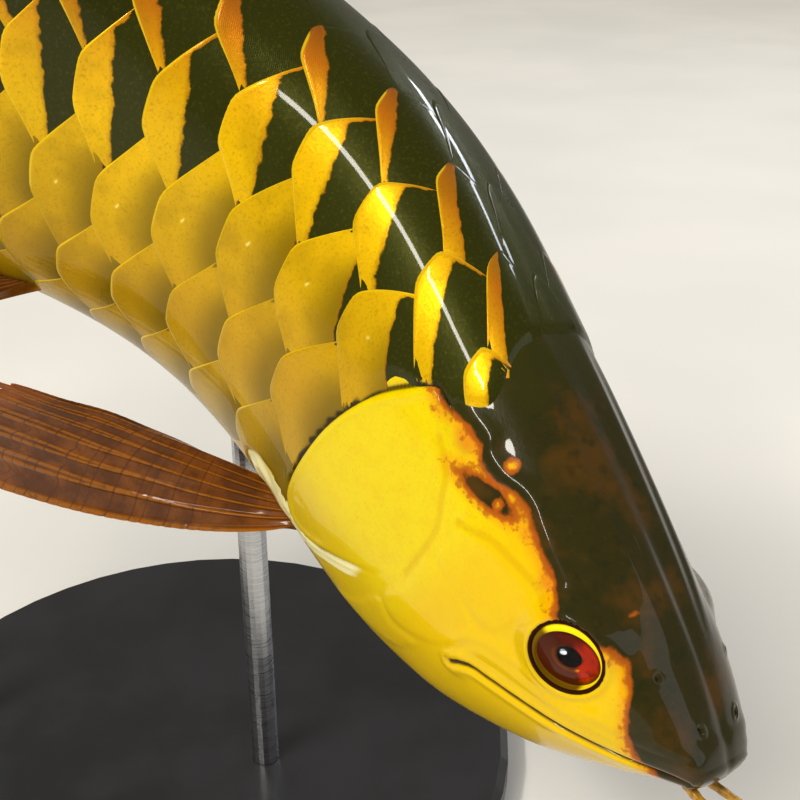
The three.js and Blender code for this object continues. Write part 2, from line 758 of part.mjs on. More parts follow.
fish.add(meshOf('caudal_fin', largest(tailFin().subtract(clearSkin)), material(colours.fin, 0.45)));

// Place the fish over the base: the lowest point clears it, and its middle is over its centre
fish.applyMatrix4(attitude);
fish.updateMatrixWorld(true);
const fishBox = new THREE.Box3().setFromObject(fish);
const bodyMiddle = bent(250, 0, 0).applyMatrix4(attitude);
fish.position.set(-bodyMiddle.x, -bodyMiddle.y, baseHeight + lowestPoint - fishBox.min.z);
fish.updateMatrixWorld(true);

function standBase() {
  const half = [
    [0, 0], [baseRadius - 1.5, 0], [baseRadius, 1.5], [baseRadius, baseHeight - 3],
    [baseRadius - 3, baseHeight], [0, baseHeight]].map(([x, y]) => new THREE.Vector2(x, y));
  const plate = new THREE.LatheGeometry(half, 48);
  plate.rotateX(Math.PI / 2);
  return geometrySolid(plate);
}

// A rod from the base up to the belly at s, ended by the skin
function standRod(s) {
  const belly = bent(s, 0, bellyDepth(s) + 8).applyMatrix4(fish.matrixWorld);
  const rod = new THREE.CylinderGeometry(rodRadius, rodRadius, belly.z - baseHeight - gap, 16);
  rod.rotateX(Math.PI / 2);
  rod.translate(belly.x, belly.y, (belly.z + baseHeight + gap) / 2);
  const skin = clearSkin.transform(fish.matrixWorld.toArray());
  return largest(geometrySolid(rod).subtract(skin));
}

const arowana = new THREE.Group();
arowana.add(fish);
arowana.add(meshOf('stand_base', standBase(), material(colours.stand, 0.5)));
arowana.add(meshOf('stand_rod_front', standRod(frontRodAt), material(colours.rod, 0.3, 1)));
arowana.add(meshOf('stand_rod_rear', standRod(rearRodAt), material(colours.rod, 0.3, 1)));

export default arowana;
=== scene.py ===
# Golden Asian arowana, life size, on a plain display stand.
# Sizes are in millimetres until a mesh is made. The fish is described straight:
# s runs back from the snout tip, y to its left, z to its back, u is the share of
# the half girth from belly (0) to back (1). It is then bent and turned as it swims.
import math

import bpy
import numpy as np
from mathutils import Euler, Matrix, Vector


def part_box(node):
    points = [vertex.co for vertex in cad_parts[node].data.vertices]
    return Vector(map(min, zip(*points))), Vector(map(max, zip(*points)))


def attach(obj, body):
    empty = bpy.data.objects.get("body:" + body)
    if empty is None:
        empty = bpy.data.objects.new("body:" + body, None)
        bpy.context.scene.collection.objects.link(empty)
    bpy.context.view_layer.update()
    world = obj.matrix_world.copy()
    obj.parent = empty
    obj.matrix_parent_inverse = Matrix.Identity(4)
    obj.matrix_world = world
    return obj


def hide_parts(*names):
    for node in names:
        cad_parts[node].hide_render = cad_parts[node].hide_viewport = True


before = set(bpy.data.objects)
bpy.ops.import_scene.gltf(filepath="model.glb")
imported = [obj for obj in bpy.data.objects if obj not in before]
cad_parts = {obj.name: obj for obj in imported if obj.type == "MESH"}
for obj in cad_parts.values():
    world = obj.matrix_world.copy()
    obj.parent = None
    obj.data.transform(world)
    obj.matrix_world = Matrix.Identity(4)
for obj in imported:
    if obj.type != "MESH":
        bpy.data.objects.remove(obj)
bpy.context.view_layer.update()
millimetre = 0.001
sides = {"left": 1, "right": -1}

body = {
    "length": 560.0,  # snout tip to the root of the tail fin
    "overBase": 250.0,  # s of the place that stands over the middle of the base
    "heading": -56.5, "noseDown": 36.1, "bank": -16.7,  # degrees
    "upperRoundness": 2.5, "lowerRoundness": 1.85,  # of a section: 2 is an ellipse, more is squarer
}
# s, height of the back, depth of the belly, half width, where it is widest
sections = [
    [0, 36.7, 25, 10.8, 0.80],
    [11.6, 41.5, 7.7, 17.8, 0.74],
    [29, 46.3, -14.5, 23.4, 0.71],
    [58, 52.1, -38.5, 26.6, 0.64],
    [96, 57.9, -54.5, 28, 0.61],
    [132, 62, -60.5, 30, 0.595],
    [195, 67.2, -63.5, 31.4, 0.585],
    [255, 69, -66, 31.4, 0.58],
    [315, 68, -67, 30, 0.57],
    [375, 63, -61, 27, 0.56],
    [430, 52.5, -50, 22.5, 0.55],
    [480, 40, -38.5, 16.5, 0.54],
    [520, 29.5, -29.5, 11, 0.52],
    [560, 26, -26, 6, 0.5],
    [600, 26, -26, 6, 0.5],
]
# s, curvature of the backbone to the left, upward, and twist, in radians per metre
bends = [
    [0, 0, 0, 0],
    [112, 0, 0, 0],
    [125, 1.2, 1.0, -1.2],
    [165, 6.0, 1.3, -1.6],
    [235, 7.4, 1.3, -1.0],
    [285, 6.6, 0.8, 1.0],
    [345, 2.0, -0.6, 1.2],
    [410, -3.0, -1.0, 0],
    [560, -3.6, -0.8, 0],
    [700, -3.6, 0, 0],
]


# Curves, noise and distances
# Monotone cubic through one column of a table
def tableCurve(table, column):
    table = np.asarray(table, float)
    x, y = table[:, 0], table[:, column]
    slopes = np.diff(y) / np.diff(x)
    tangents = np.concatenate([slopes[:1], np.zeros(len(x) - 2), slopes[-1:]])
    product, total = slopes[:-1] * slopes[1:], slopes[:-1] + slopes[1:]
    tangents[1:-1] = np.where(product > 0, 2 * product / np.where(total == 0, 1, total), 0)

    def curve(at):
        i = np.clip(np.searchsorted(x, at, side="left") - 1, 0, len(x) - 2)
        h = x[i + 1] - x[i]
        t = np.clip((at - x[i]) / h, 0, 1)
        before = y[i] * (1 + 2 * t) + h * t * tangents[i]
        after = y[i + 1] * (3 - 2 * t) - h * (1 - t) * tangents[i + 1]
        return before * (1 - t) ** 2 + after * t**2

    return curve


def smoothStep(value, low, high):
    t = np.clip((np.asarray(value, float) - low) / (high - low), 0, 1)
    return t * t * (3 - 2 * t)


def bump(distance, width):
    return np.exp(-((distance / width) ** 2))


# Catmull-Rom curve through a few points
def smoothCurve(points, closed, steps=8):
    p = np.asarray(points, float)
    if closed:
        p = np.vstack([p[-1], p, p[:2]])
    else:
        p = np.vstack([2 * p[0] - p[1], p, 2 * p[-1] - p[-2]])
    t = np.linspace(0, 1, steps, endpoint=False)[None, :, None]
    a, b, c, d = (p[k : len(p) - 3 + k, None] for k in range(4))
    out = 0.5 * (2 * b + (c - a) * t + (2 * a - 5 * b + 4 * c - d) * t**2 + (3 * b - a - 3 * c + d) * t**3)
    out = out.reshape(-1, p.shape[1])
    return out if closed else np.vstack([out, p[-2]])


# Distance of points in a plane to a line; from a closed line it is negative outside
def lineDistance(points, line, closed=False):
    ends = np.roll(line, -1, axis=0) if closed else line[1:]
    starts = line if closed else line[:-1]
    nearest = np.full(len(points), 1e9)
    inside = np.zeros(len(points), bool)
    for a, b in zip(starts, ends):
        along = b - a
        t = np.clip(((points - a) @ along) / max(along @ along, 1e-9), 0, 1)
        nearest = np.minimum(nearest, np.hypot(*(points - a - t[:, None] * along).T))
        if closed:
            crosses = (a[1] > points[:, 1]) != (b[1] > points[:, 1])
            rise = b[1] - a[1] if b[1] != a[1] else 1e-9
            inside ^= crosses & (points[:, 0] < a[0] + (points[:, 1] - a[1]) * along[0] / rise)
    return np.where(inside, nearest, -nearest) if closed else nearest


noise = {"waves": 9, "lengths": (0.7, 1.6), "phases": (0, 6.3), "level": 4}


# Smooth seeded noise, about -1 to 1, from a few plane waves of a size in millimetres
def waveNoise(points, size, seed):
    random = np.random.default_rng(seed)
    total = np.zeros(len(points))
    for _ in range(noise["waves"]):
        direction = random.normal(size=points.shape[1])
        direction /= np.linalg.norm(direction)
        length = size * random.uniform(*noise["lengths"])
        total += np.sin(points @ direction * (2 * math.pi / length) + random.uniform(*noise["phases"]))
    return total / noise["level"]


# The bare body
backHeight, bellyDepth, halfWidth, widestAt = (tableCurve(sections, k) for k in (1, 2, 3, 4))
sectionAngles = 121  # points on a quarter of a section before it is shared out
girthSteps = 384  # cells of the table round half a section
insideTable = 0.001  # keeps the last place that is read inside the table


# Half sections every millimetre, by share of the girth: y, z, their outward direction, half girth
def girthTable():
    rows = []
    angle = np.linspace(0, math.pi / 2, sectionAngles)
    shares = np.linspace(0, 1, girthSteps + 1)
    for s in np.arange(0.0, sections[-1][0] + 1):
        top, bottom, width = backHeight(s), bellyDepth(s), halfWidth(s)
        middle = bottom + (top - bottom) * widestAt(s)
        sine, cosine = np.sin(angle), np.clip(np.cos(angle), 0, 1)
        low, high = 2 / body["lowerRoundness"], 2 / body["upperRoundness"]
        y = np.concatenate([width * sine**low, (width * cosine**high)[1:]])
        upper, lower = middle + (top - middle) * sine**high, middle - (middle - bottom) * cosine**low
        z = np.concatenate([lower, upper[1:]])
        lengths = np.concatenate([[0], np.cumsum(np.hypot(np.diff(y), np.diff(z)))])
        y, z = (np.interp(shares * lengths[-1], lengths, v) for v in (y, z))
        dy, dz = np.gradient(y), np.gradient(z)
        dy[0], dz[0], dy[-1], dz[-1] = 1, 0, -1, 0
        size = np.hypot(dy, dz)
        rows.append(np.stack([y, z, dz / size, -dy / size, np.full(len(y), lengths[-1])], axis=1))
    return np.array(rows)


girth = girthTable()


# The table's row at any s and u, for one side
def sectionAt(s, u):
    fs = np.clip(np.asarray(s, float), 0, len(girth) - 1 - insideTable)
    fu = np.minimum(np.clip(u, 0, 1) * girthSteps, girthSteps - insideTable)
    i, j = fs.astype(int), fu.astype(int)
    a, b = (fs - i)[..., None], (fu - j)[..., None]
    low = girth[i, j] * (1 - b) + girth[i, j + 1] * b
    high = girth[i + 1, j] * (1 - b) + girth[i + 1, j + 1] * b
    return low * (1 - a) + high * a


# Rows of s, place, forward, left and up along the backbone, from the snout back
def makeSpine(step=2.0, reach=700):
    rates = [tableCurve(bends, k) for k in (1, 2, 3)]
    place, turn, rows = np.zeros(3), np.zeros(3), []
    for s in np.arange(0, reach + step, step):
        yaw, pitch, twist = turn
        flat = np.array([math.cos(yaw), math.sin(yaw), 0.0]) * math.cos(pitch)
        forward = flat + np.array([0, 0, math.sin(pitch)])
        level = np.array([-math.sin(yaw), math.cos(yaw), 0.0])
        left = level * math.cos(twist) + np.cross(forward, level) * math.sin(twist)
        rows.append(np.concatenate([[s], place, forward, left, np.cross(forward, left)]))
        place = place - forward * step
        turn = turn + np.array([rate(s) for rate in rates]) * step / 1000  # the bends are per metre
    return np.array(rows)


spine = makeSpine()


# Place, forward, left and up at s
def spineAt(s):
    at = np.stack([np.interp(s, spine[:, 0], spine[:, k]) for k in range(1, 13)], -1)
    return [at[..., k : k + 3] for k in (0, 3, 6, 9)]


# From the straight fish to the bent one
def bent(s, y, z):
    s, y, z = (v.astype(float) for v in np.broadcast_arrays(s, y, z))
    place, forward, left, up = spineAt(s)
    ahead = np.maximum(-s, 0)[..., None]
    return place + forward * ahead + left * y[..., None] + up * z[..., None]


def skinPoint(s, u, side, lift=0.0):
    at = sectionAt(s, u)
    return bent(s, side * (at[..., 0] + at[..., 2] * lift), at[..., 1] + at[..., 3] * lift)


# Placing: the attitude, then the height that the eyes have in the frame
attitude = np.array(
    Matrix.Rotation(math.radians(body["heading"]), 3, "Z")
    @ Matrix.Rotation(math.radians(body["noseDown"]), 3, "Y")
    @ Matrix.Rotation(math.radians(body["bank"]), 3, "X")
)
eye = {
    "s": 39.3, "y": 18.7, "z": 29.7,
    "facing": (0.36, 1.0, 0.02),  # of the orbit: forward, outward, up
    "gaze": (0.5, 1.0, -0.1),  # of the eyeball, turned forward and down in its orbit
    "rimRadius": 9.4, "rimOut": 6.8,  # the orbit's rim, about the eyeball's centre
    "irisRadius": 8.0, "irisHeight": 5.9, "irisDish": 0.5, "pupilRadius": 3.2, "pupilDish": 0.25,
    "least": 0.05, "innerRings": (3.0, 5), "outerRings": (3.1, 0.2),  # to, count; from, step
    "ringStep": 0.12, "ringRadius": 8.85, "ringHeight": 6.75, "ringSwell": 0.3, "ringRings": 10,
    # the fold is painted dark for the shade in the orbit's groove
    "lid": (9.35, 6.95, 0.5),  # radius, height and thickness of the dark fold round the eye
    "lidTurn": (190, -60, 12),  # degrees that its rings go round, and their count
    "back": [(9.4, 2.0), (7.6, -3.5), (3.6, -6.0), (0.05, -6.4)],  # radius, height
    "ringMark": 8.55, "lidMark": 10.0,  # radii that stand for the ring and the lid in the colours
    "arcRadius": 4.1, "arcWidth": 0.45, "arcSpan": (0.15, -0.5),  # a light arc under the pupil
    # painted shade on the lower half of the iris and its ring
    "paintedShadeLean": 0.3, "paintedShadeSpan": (0.15, -0.45),  # the lower half is darker
    "redness": (0.8, 0.6),  # grows forward and up
    "apex": 8.75, "domeRadius": 12.2,  # of the cornea
    "corneaPast": 0.1, "corneaRings": 22, "corneaThickness": 0.22,
    "around": 120,
}


def eyeAxes(side, direction):
    centre = bent(eye["s"], side * eye["y"], eye["z"])
    out = np.array([direction[0], side * direction[1], direction[2]])
    out /= np.linalg.norm(out)
    up = np.cross(out, np.cross([0.0, 0.0, 1.0], out))
    up /= np.linalg.norm(up)
    return centre, out, up, np.cross(up, out)


def fishOffset():
    middle = attitude @ bent(body["overBase"], 0.0, 0.0)
    heights = []
    for name, side in sides.items():
        low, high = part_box(f"eye_{name}")
        heights.append((low.z + high.z) / 2 / millimetre - (attitude @ eyeAxes(side, eye["facing"])[0])[2])
    return np.array([-middle[0], -middle[1], sum(heights) / 2])


offset = fishOffset()


def toWorld(points):
    return (np.asarray(points, float) @ attitude.T + offset) * millimetre


# Making meshes
def gridFaces(rows, columns, wrap=False):
    last = columns if wrap else columns - 1
    i, j = np.meshgrid(np.arange(rows - 1), np.arange(last), indexing="ij")
    k = (j + 1) % columns
    quads = np.stack([i * columns + j, (i + 1) * columns + j, (i + 1) * columns + k, i * columns + k], -1)
    return quads.reshape(-1, 4)


# The outline of such a grid, once round
def gridBorder(rows, columns):
    count = rows * columns
    return np.concatenate([
        np.arange(columns - 1), np.arange(columns - 1, count - 1, columns),
        np.arange(count - 1, (rows - 1) * columns, -1), np.arange((rows - 1) * columns, 0, -columns)])


# Rings joined to a closed tube with flat ends
def tubeFaces(rings, around):
    ends = np.arange(around)[::-1], np.arange((rings - 1) * around, rings * around)
    return [gridFaces(rings, around, wrap=True), *(end[None] for end in ends)]


# Points are in the bent fish's frame; faces is a list of arrays of quads and of triangles
def makePiece(name, points, faces, material, values=None, uv=None, turn=False):
    faces = [f[:, ::-1] if turn else f for f in faces if len(f)]
    mesh = bpy.data.meshes.new(name)
    mesh.vertices.add(len(points))
    mesh.vertices.foreach_set("co", toWorld(points).astype(np.float32).ravel())
    corners = np.concatenate([f.ravel() for f in faces]).astype(np.int32)
    sizes = np.concatenate([np.full(len(f), f.shape[1]) for f in faces])
    mesh.loops.add(len(corners))
    mesh.loops.foreach_set("vertex_index", corners)
    mesh.polygons.add(len(sizes))
    mesh.polygons.foreach_set("loop_start", np.concatenate([[0], np.cumsum(sizes)[:-1]]).astype(np.int32))
    mesh.polygons.foreach_set("use_smooth", np.ones(len(sizes), bool))
    mesh.update(calc_edges=True)
    for key, value in (values or {}).items():
        store = mesh.attributes.new(key, "FLOAT_VECTOR", "POINT")
        store.data.foreach_set("vector", np.asarray(value, np.float32).ravel())
    if uv is not None:
        layer = mesh.uv_layers.new(name="OFBake")
        layer.data.foreach_set("uv", np.asarray(uv, np.float32)[corners].ravel())
    mesh.materials.append(material)
    piece = bpy.data.objects.new(name, mesh)
    bpy.context.scene.collection.objects.link(piece)
    return piece


def settle(piece, slotName, *nodes):
    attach(piece, "root")
    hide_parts(*nodes)


# Materials
def linear(hexColour):
    def channel(value):
        return value / 12.92 if value <= 0.04045 else ((value + 0.055) / 1.055) ** 2.4

    return tuple(channel(int(hexColour[i : i + 2], 16) / 255) for i in (1, 3, 5)) + (1.0,)


# One node: settings go to its properties or sockets, links come from nodes or their sockets
def addNode(tree, kind, settings=None, links=None):
    node = tree.nodes.new("ShaderNode" + kind)
    for key, value in (settings or {}).items():
        if isinstance(value, str) and value.startswith("#"):
            value = linear(value)
        if isinstance(key, str) and hasattr(node, key):
            setattr(node, key, value)
        else:
            node.inputs[key].default_value = value
    for key, source in (links or {}).items():
        if isinstance(source, bpy.types.Node):
            source = next(socket for socket in source.outputs if socket.enabled)
        tree.links.new(source, node.inputs[key])
    return node


grainRoughness = 0.58  # how much a grain's finer detail counts
grainSpan = (0.3, 0.7)  # between these most of a grain's values lie


# A material's start: its shader, the marks stored on the mesh, and its grains by size in mm
def startMaterial(name, shading, marks, grains):
    material = bpy.data.materials.new(name)
    material.use_nodes = True
    tree = material.node_tree
    tree.nodes.clear()
    shader = addNode(tree, "BsdfPrincipled", shading)
    addNode(tree, "OutputMaterial", None, {"Surface": shader})
    guides = {}
    for mark, parts in marks.items():
        stored = addNode(tree, "Attribute", {"attribute_name": mark})
        split = addNode(tree, "SeparateXYZ", None, {0: stored.outputs["Vector"]})
        guides |= dict(zip(parts, split.outputs))
    place = addNode(tree, "TexCoord").outputs["Object"]
    for grain, (size, detail) in grains.items():
        settings = {"Scale": 1 / (size * millimetre), "Detail": detail, "Roughness": grainRoughness}
        guides[grain] = addNode(tree, "TexNoise", settings, {"Vector": place}).outputs[0]
    return material, tree, shader, guides


# Colours laid over each other: (guide, where it starts, where it is full, most cover, colour)
def paintLayers(tree, guides, base, layers):
    colour = base
    for guide, start, full, most, paint in layers:
        ramp = {"interpolation_type": "SMOOTHSTEP", "From Min": start, "From Max": full, "To Max": most}
        cover = addNode(tree, "MapRange", ramp, {"Value": guides[guide]})
        settings, links = {"data_type": "RGBA", "clamp_factor": True}, {0: cover}
        for key, value in ((6, colour), (7, paint)):
            (settings if isinstance(value, str) else links)[key] = value
        colour = addNode(tree, "Mix", settings, links)
    return colour


# A material's end: colour, roughness (grain, least, most) and relief finer than the mesh
# (guide, depth in mm, strength)
def finishMaterial(tree, shader, guides, colour, look):
    grain, smooth, coarse = look["roughness"]
    ramp = {"From Min": grainSpan[0], "From Max": grainSpan[1], "To Min": smooth, "To Max": coarse}
    spread = addNode(tree, "MapRange", ramp, {"Value": guides[grain]})
    normal = None
    for guide, depth, strength in look["relief"]:
        links = {"Height": guides[guide]} | ({"Normal": normal} if normal else {})
        settings = {"Strength": strength, "Distance": depth * millimetre}
        normal = addNode(tree, "Bump", settings, links)
    for key, node in {"Base Color": colour, "Roughness": spread, "Normal": normal}.items():
        tree.links.new(next(socket for socket in node.outputs if socket.enabled), shader.inputs[key])


# A finish that its dictionary gives in full
def plainFinish(name, look, marks):
    material, tree, shader, guides = startMaterial(name, look["shading"], marks, look["grains"])
    colour = paintLayers(tree, guides, look["base"], look["layers"])
    finishMaterial(tree, shader, guides, colour, look)
    return material


# The edge of the gold wanders by some millimetres, as the mottling goes
def raggedEdge(tree, guides, reach):
    wander = {"operation": "MULTIPLY_ADD", 1: reach}
    moved = addNode(tree, "Math", wander, {0: guides["mottle"], 2: guides["goldMm"]})
    return addNode(tree, "Math", {"operation": "SUBTRACT", 1: reach / 2}, {0: moved})


# Thin wet skin over bone: clear even gold on the gill cover and cheek, dark olive with brown
# clouds on the skull, and small sharp lights from the film of water
def wetHeadSkin():
    look = {
        "shading": {"IOR": 1.4, "Specular IOR Level": 0.08, "Coat Weight": 0.6, "Coat IOR": 1.36,
                    "Coat Roughness": 0.04},
        "grains": {"cloud": (15, 3), "mottle": (4, 5), "streak": (2.4, 4), "grain": (0.9, 4)},
        "ragged": 3.2,  # mm that the edge of the gold wanders
        "strokeFades": -0.05,  # how the brown strokes thin out with each mm from that edge
        "top": "#2a2608",
        "topLayers": [("cloud", 0.45, 0.68, 0.8, "#4a310a"), ("mottle", 0.5, 0.72, 0.6, "#1c200a"),
                      ("grain", 0.55, 0.8, 0.4, "#3c3a10"), ("along", 84, 104, 0.85, "#2b2b07")],
        "gold": "#dcc600",
        "goldLayers": [("mottle", 0.42, 0.7, 0.3, "#d8ac00"), ("grain", 0.5, 0.75, 0.35, "#bf9a00"),
                       ("along", 80, 64, 0.6, "#dcae00"), ("share", 0.4, 0.22, 0.75, "#c0a010"),
                       ("crease", 0.1, 0.9, 0.25, "#b87800"), ("warm", 0.15, 0.95, 0.7, "#c4641c"),
                       ("ragged", 5.6, 1.6, 0.6, "#dc8a0a"), ("ragged", 2.2, 0.6, 0.85, "#96380c"),
                       ("stroke", 0.36, 0.5, 0.75, "#a5500e")],
        "topCover": ("ragged", 0.6, -0.6, 1.0),
        # gill: painted shadow, a dark line under the gill cover's free edge
        "markLayers": [("membrane", 0.3, 0.8, 0.95, "#e6dfa6"), ("gill", 0.25, 0.85, 0.95, "#3e2c06"),
                       # socket: painted shade on the sunken skin inside the orbit
                       ("mouth", 0.9, 0.35, 1.0, "#3a2208"), ("socket", 0.2, 0.8, 1.0, "#2a1204")],
        "roughness": ("cloud", 0.24, 0.36), "relief": [("mottle", 0.3, 0.35), ("grain", 0.1, 0.45)],
    }
    marks = {"mark": ("goldMm", "gill", "mouth"), "place": ("along", "share", "socket"),
             "tone": ("membrane", "warm", "crease")}
    name = "wetFishSkinOverBone"
    material, tree, shader, guides = startMaterial(name, look["shading"], marks, look["grains"])
    guides["ragged"] = raggedEdge(tree, guides, look["ragged"])
    fades = {"operation": "MULTIPLY_ADD", 1: look["strokeFades"]}
    guides["stroke"] = addNode(tree, "Math", fades, {0: guides["ragged"], 2: guides["streak"]})
    top = paintLayers(tree, guides, look["top"], look["topLayers"])
    gold = paintLayers(tree, guides, look["gold"], look["goldLayers"])
    colour = paintLayers(tree, guides, gold, [(*look["topCover"], top)])
    colour = paintLayers(tree, guides, colour, look["markLayers"])
    finishMaterial(tree, shader, guides, colour, look)
    return material


# Bony scale backed with guanine crystals, under a film of water: satin gold with growth rings
# too fine to see one by one, so they are drawn 0.6 mm apart; the root of a back scale is dark
# Every scale also has painted shade towards its root
def wetScale():
    look = {
        "shading": {"IOR": 1.5, "Specular IOR Level": 0.06, "Metallic": 0.3,
                    "Coat Weight": 0.5, "Coat IOR": 1.36, "Coat Roughness": 0.045},
        "grains": {"cloud": (16, 3), "mottle": (4, 5), "grain": (0.9, 4)},
        # colours from belly to back
        "rows": [(0.0, "#b48c08"), (0.16, "#be9a00"), (0.33, "#c19400"), (0.5, "#d8ac00"), (0.62, "#eebe00"),
                 (0.7, "#ecb404"), (0.8, "#c4700c"), (0.88, "#8a4c10"), (1.0, "#2a2a08")],
        "ragged": 4.2,  # mm that the edge of the gold wanders
        "ring": 0.6, "ringWander": 8.0,  # mm between growth rings, and radians that mottling moves them
        "value": (0.16, 0.904),  # how far one scale differs from the next, and the darkest
        # fromEdge: painted shade towards each scale's root, beside the edge of the scale in front
        "layers": [("fromEdge", 9, 27, 0.75, "#574c00"), ("cloud", 0.45, 0.7, 0.35, "#9a7800"),
                   ("grain", 0.48, 0.75, 0.4, "#8a6800"), ("ragged", 1.6, 0.6, 0.35, "#b06408"),
                   ("ragged", 0.5, -0.5, 1.0, "#2f3103"), ("darkGrain", 0.5, 0.75, 0.6, "#4c4a08"),
                   # pore: a pale dot on each lateral-line scale, painted as the glint on its pore
                   # rim: a light yellow line along each free edge, partly the scale's own colour and partly
                   # a painted highlight
                   ("rim", 1.1, 0.4, 0.7, "#f8d81c"), ("poreGlint", 0.3, 0.8, 0.9, "#fff07a"),
                   ("shadow", 0.1, 0.8, 0.96, "#241c02")],
        "roughness": ("cloud", 0.26, 0.4),
        "relief": [("rings", 0.03, 0.25), ("mottle", 0.3, 0.3), ("grain", 0.1, 0.5)],
    }
    marks = {"mark": ("goldMm", "fromEdge", "seed"), "place": ("along", "share", "poreGlint"),
             "tone": ("rim", "dark", "shadow")}
    material, tree, shader, guides = startMaterial("wetScaleGuanine", look["shading"], marks, look["grains"])
    guides["ragged"] = raggedEdge(tree, guides, look["ragged"])
    times, timesAndAdd = {"operation": "MULTIPLY"}, {"operation": "MULTIPLY_ADD"}
    guides["darkGrain"] = addNode(tree, "Math", times, {0: guides["grain"], 1: guides["dark"]})
    rows = addNode(tree, "ValToRGB", None, {0: guides["share"]})
    stops = rows.color_ramp.elements
    while len(stops) < len(look["rows"]):
        stops.new(0.5)
    for stop, (at, paint) in zip(stops, look["rows"]):
        stop.position, stop.color = at, linear(paint)
    painted = paintLayers(tree, guides, rows, look["layers"])
    spread, least = look["value"]
    value = addNode(tree, "Math", timesAndAdd | {1: spread, 2: least}, {0: guides["seed"]})
    colour = addNode(tree, "HueSaturation", None, {"Value": value, "Color": painted})
    turns = addNode(tree, "Math", times | {1: 2 * math.pi / look["ring"]}, {0: guides["fromEdge"]})
    links = {0: guides["mottle"], 2: turns}
    turns = addNode(tree, "Math", timesAndAdd | {1: look["ringWander"]}, links)
    guides["rings"] = addNode(tree, "Math", {"operation": "SINE"}, {0: turns})
    finishMaterial(tree, shader, guides, colour, look)
    return material


# Fin membrane between bony rays, wet: brown with orange lights along the jointed rays
def finMembrane():
    look = {
        "shading": {"IOR": 1.4, "Specular IOR Level": 0.15, "Coat Weight": 0.3, "Coat Roughness": 0.1,
                    "Subsurface Weight": 0.12, "Subsurface Radius": (0.004, 0.002, 0.001),
                    "Subsurface Scale": 1.0},
        "grains": {"cloud": (11, 4), "mottle": (3, 4), "grain": (1.0, 4)},
        "base": "#6e3c0a",
        "layers": [("cloud", 0.38, 0.62, 0.75, "#452206"), ("ray", 0.25, 0.85, 0.7, "#965a10"),
                   ("mottle", 0.5, 0.72, 0.5, "#43240a"), ("joint", 0.4, 0.9, 0.75, "#4a2408"),
                   ("outward", 0.82, 1.0, 0.5, "#a05210"), ("grain", 0.55, 0.8, 0.35, "#2a1604")],
        "roughness": ("cloud", 0.3, 0.46), "relief": [("mottle", 0.2, 0.3), ("grain", 0.12, 0.4)],
    }
    return plainFinish("wetFinMembrane", look, {"mark": ("ray", "outward", "joint")})


# Barbel skin: soft, wet, ochre with brown flecks
def barbelSkin():
    look = {
        "shading": {"IOR": 1.4, "Coat Weight": 0.35, "Coat Roughness": 0.12},
        "grains": {"mottle": (2, 4), "grain": (0.8, 4)},
        "base": "#c08c26",
        "layers": [("mottle", 0.4, 0.65, 0.8, "#6e5014"), ("grain", 0.5, 0.75, 0.4, "#3e2c0a")],
        "roughness": ("mottle", 0.28, 0.42), "relief": [("grain", 0.1, 0.4)],
    }
    return plainFinish("wetBarbelSkin", look, {})


# Iris: maroon with red towards the front and top, in a bright yellow ring, round a black pupil; painted
# shade darkens its lower half and that of the ring
def irisTissue():
    look = {
        "shading": {"IOR": 1.38, "Specular IOR Level": 0.04},
        "grains": {"mottle": (1.6, 4), "grain": (0.45, 4)},
        "base": "#5a1604",
        "layers": [("redness", 0.1, 0.85, 1.0, "#b02402"), ("redness", -0.2, -0.8, 0.85, "#3e1204"),
                   ("mottle", 0.42, 0.68, 0.65, "#300c04"), ("arc", 0.3, 0.8, 0.9, "#e0981c"),
                   ("radius", 6.9, 8.0, 0.9, "#200a04"), ("radius", 8.1, 8.5, 1.0, "#ffe214"),
                   # rim: the dark fold round the eye, painted shade of the orbit's groove
                   ("paintedShade", 0.1, 0.8, 0.9, "#4c1c06"), ("rim", 0.2, 0.8, 1.0, "#2a1206"),
                   ("radius", 3.35, 3.1, 1.0, "#020202")],
        "roughness": ("grain", 0.25, 0.4), "relief": [("grain", 0.05, 0.4)],
    }
    marks = {"mark": ("radius", "redness", "arc"), "tone": ("paintedShade", "rim")}
    return plainFinish("eyeIrisTissue", look, marks)


# Wet cornea: clear, so only its gloss shows, and more of it where it turns away
def corneaFilm():
    look = {"roughness": 0.02, "blend": 0.5, "turnedAway": (0.3, 1.0), "gloss": (0.006, 0.05)}
    material = bpy.data.materials.new("eyeCorneaClear")
    material.use_nodes = True
    tree = material.node_tree
    tree.nodes.clear()
    clear = addNode(tree, "BsdfTransparent")
    gloss = addNode(tree, "BsdfGlossy", {"Roughness": look["roughness"]})
    facing = addNode(tree, "LayerWeight", {"Blend": look["blend"]})
    ramp = dict(zip(("From Min", "From Max", "To Min", "To Max"), (*look["turnedAway"], *look["gloss"])))
    share = addNode(tree, "MapRange", ramp, {"Value": facing.outputs["Facing"]})
    mixed = addNode(tree, "MixShader", None, {0: share, 1: clear, 2: gloss})
    addNode(tree, "OutputMaterial", None, {"Surface": mixed})
    return material


# Turned wood, sprayed with black satin lacquer: soft reflections and a faint orange peel
def standLacquer():
    look = {
        "shading": {"IOR": 1.5, "Coat Weight": 0.3, "Coat Roughness": 0.15},
        "grains": {"cloud": (40, 3), "peel": (1.8, 2)},
        "base": "#19191c",
        "layers": [("cloud", 0.35, 0.65, 1.0, "#222226")],
        "roughness": ("cloud", 0.32, 0.44), "relief": [("peel", 0.05, 0.3)],
    }
    return plainFinish("blackLacqueredWood", look, {})


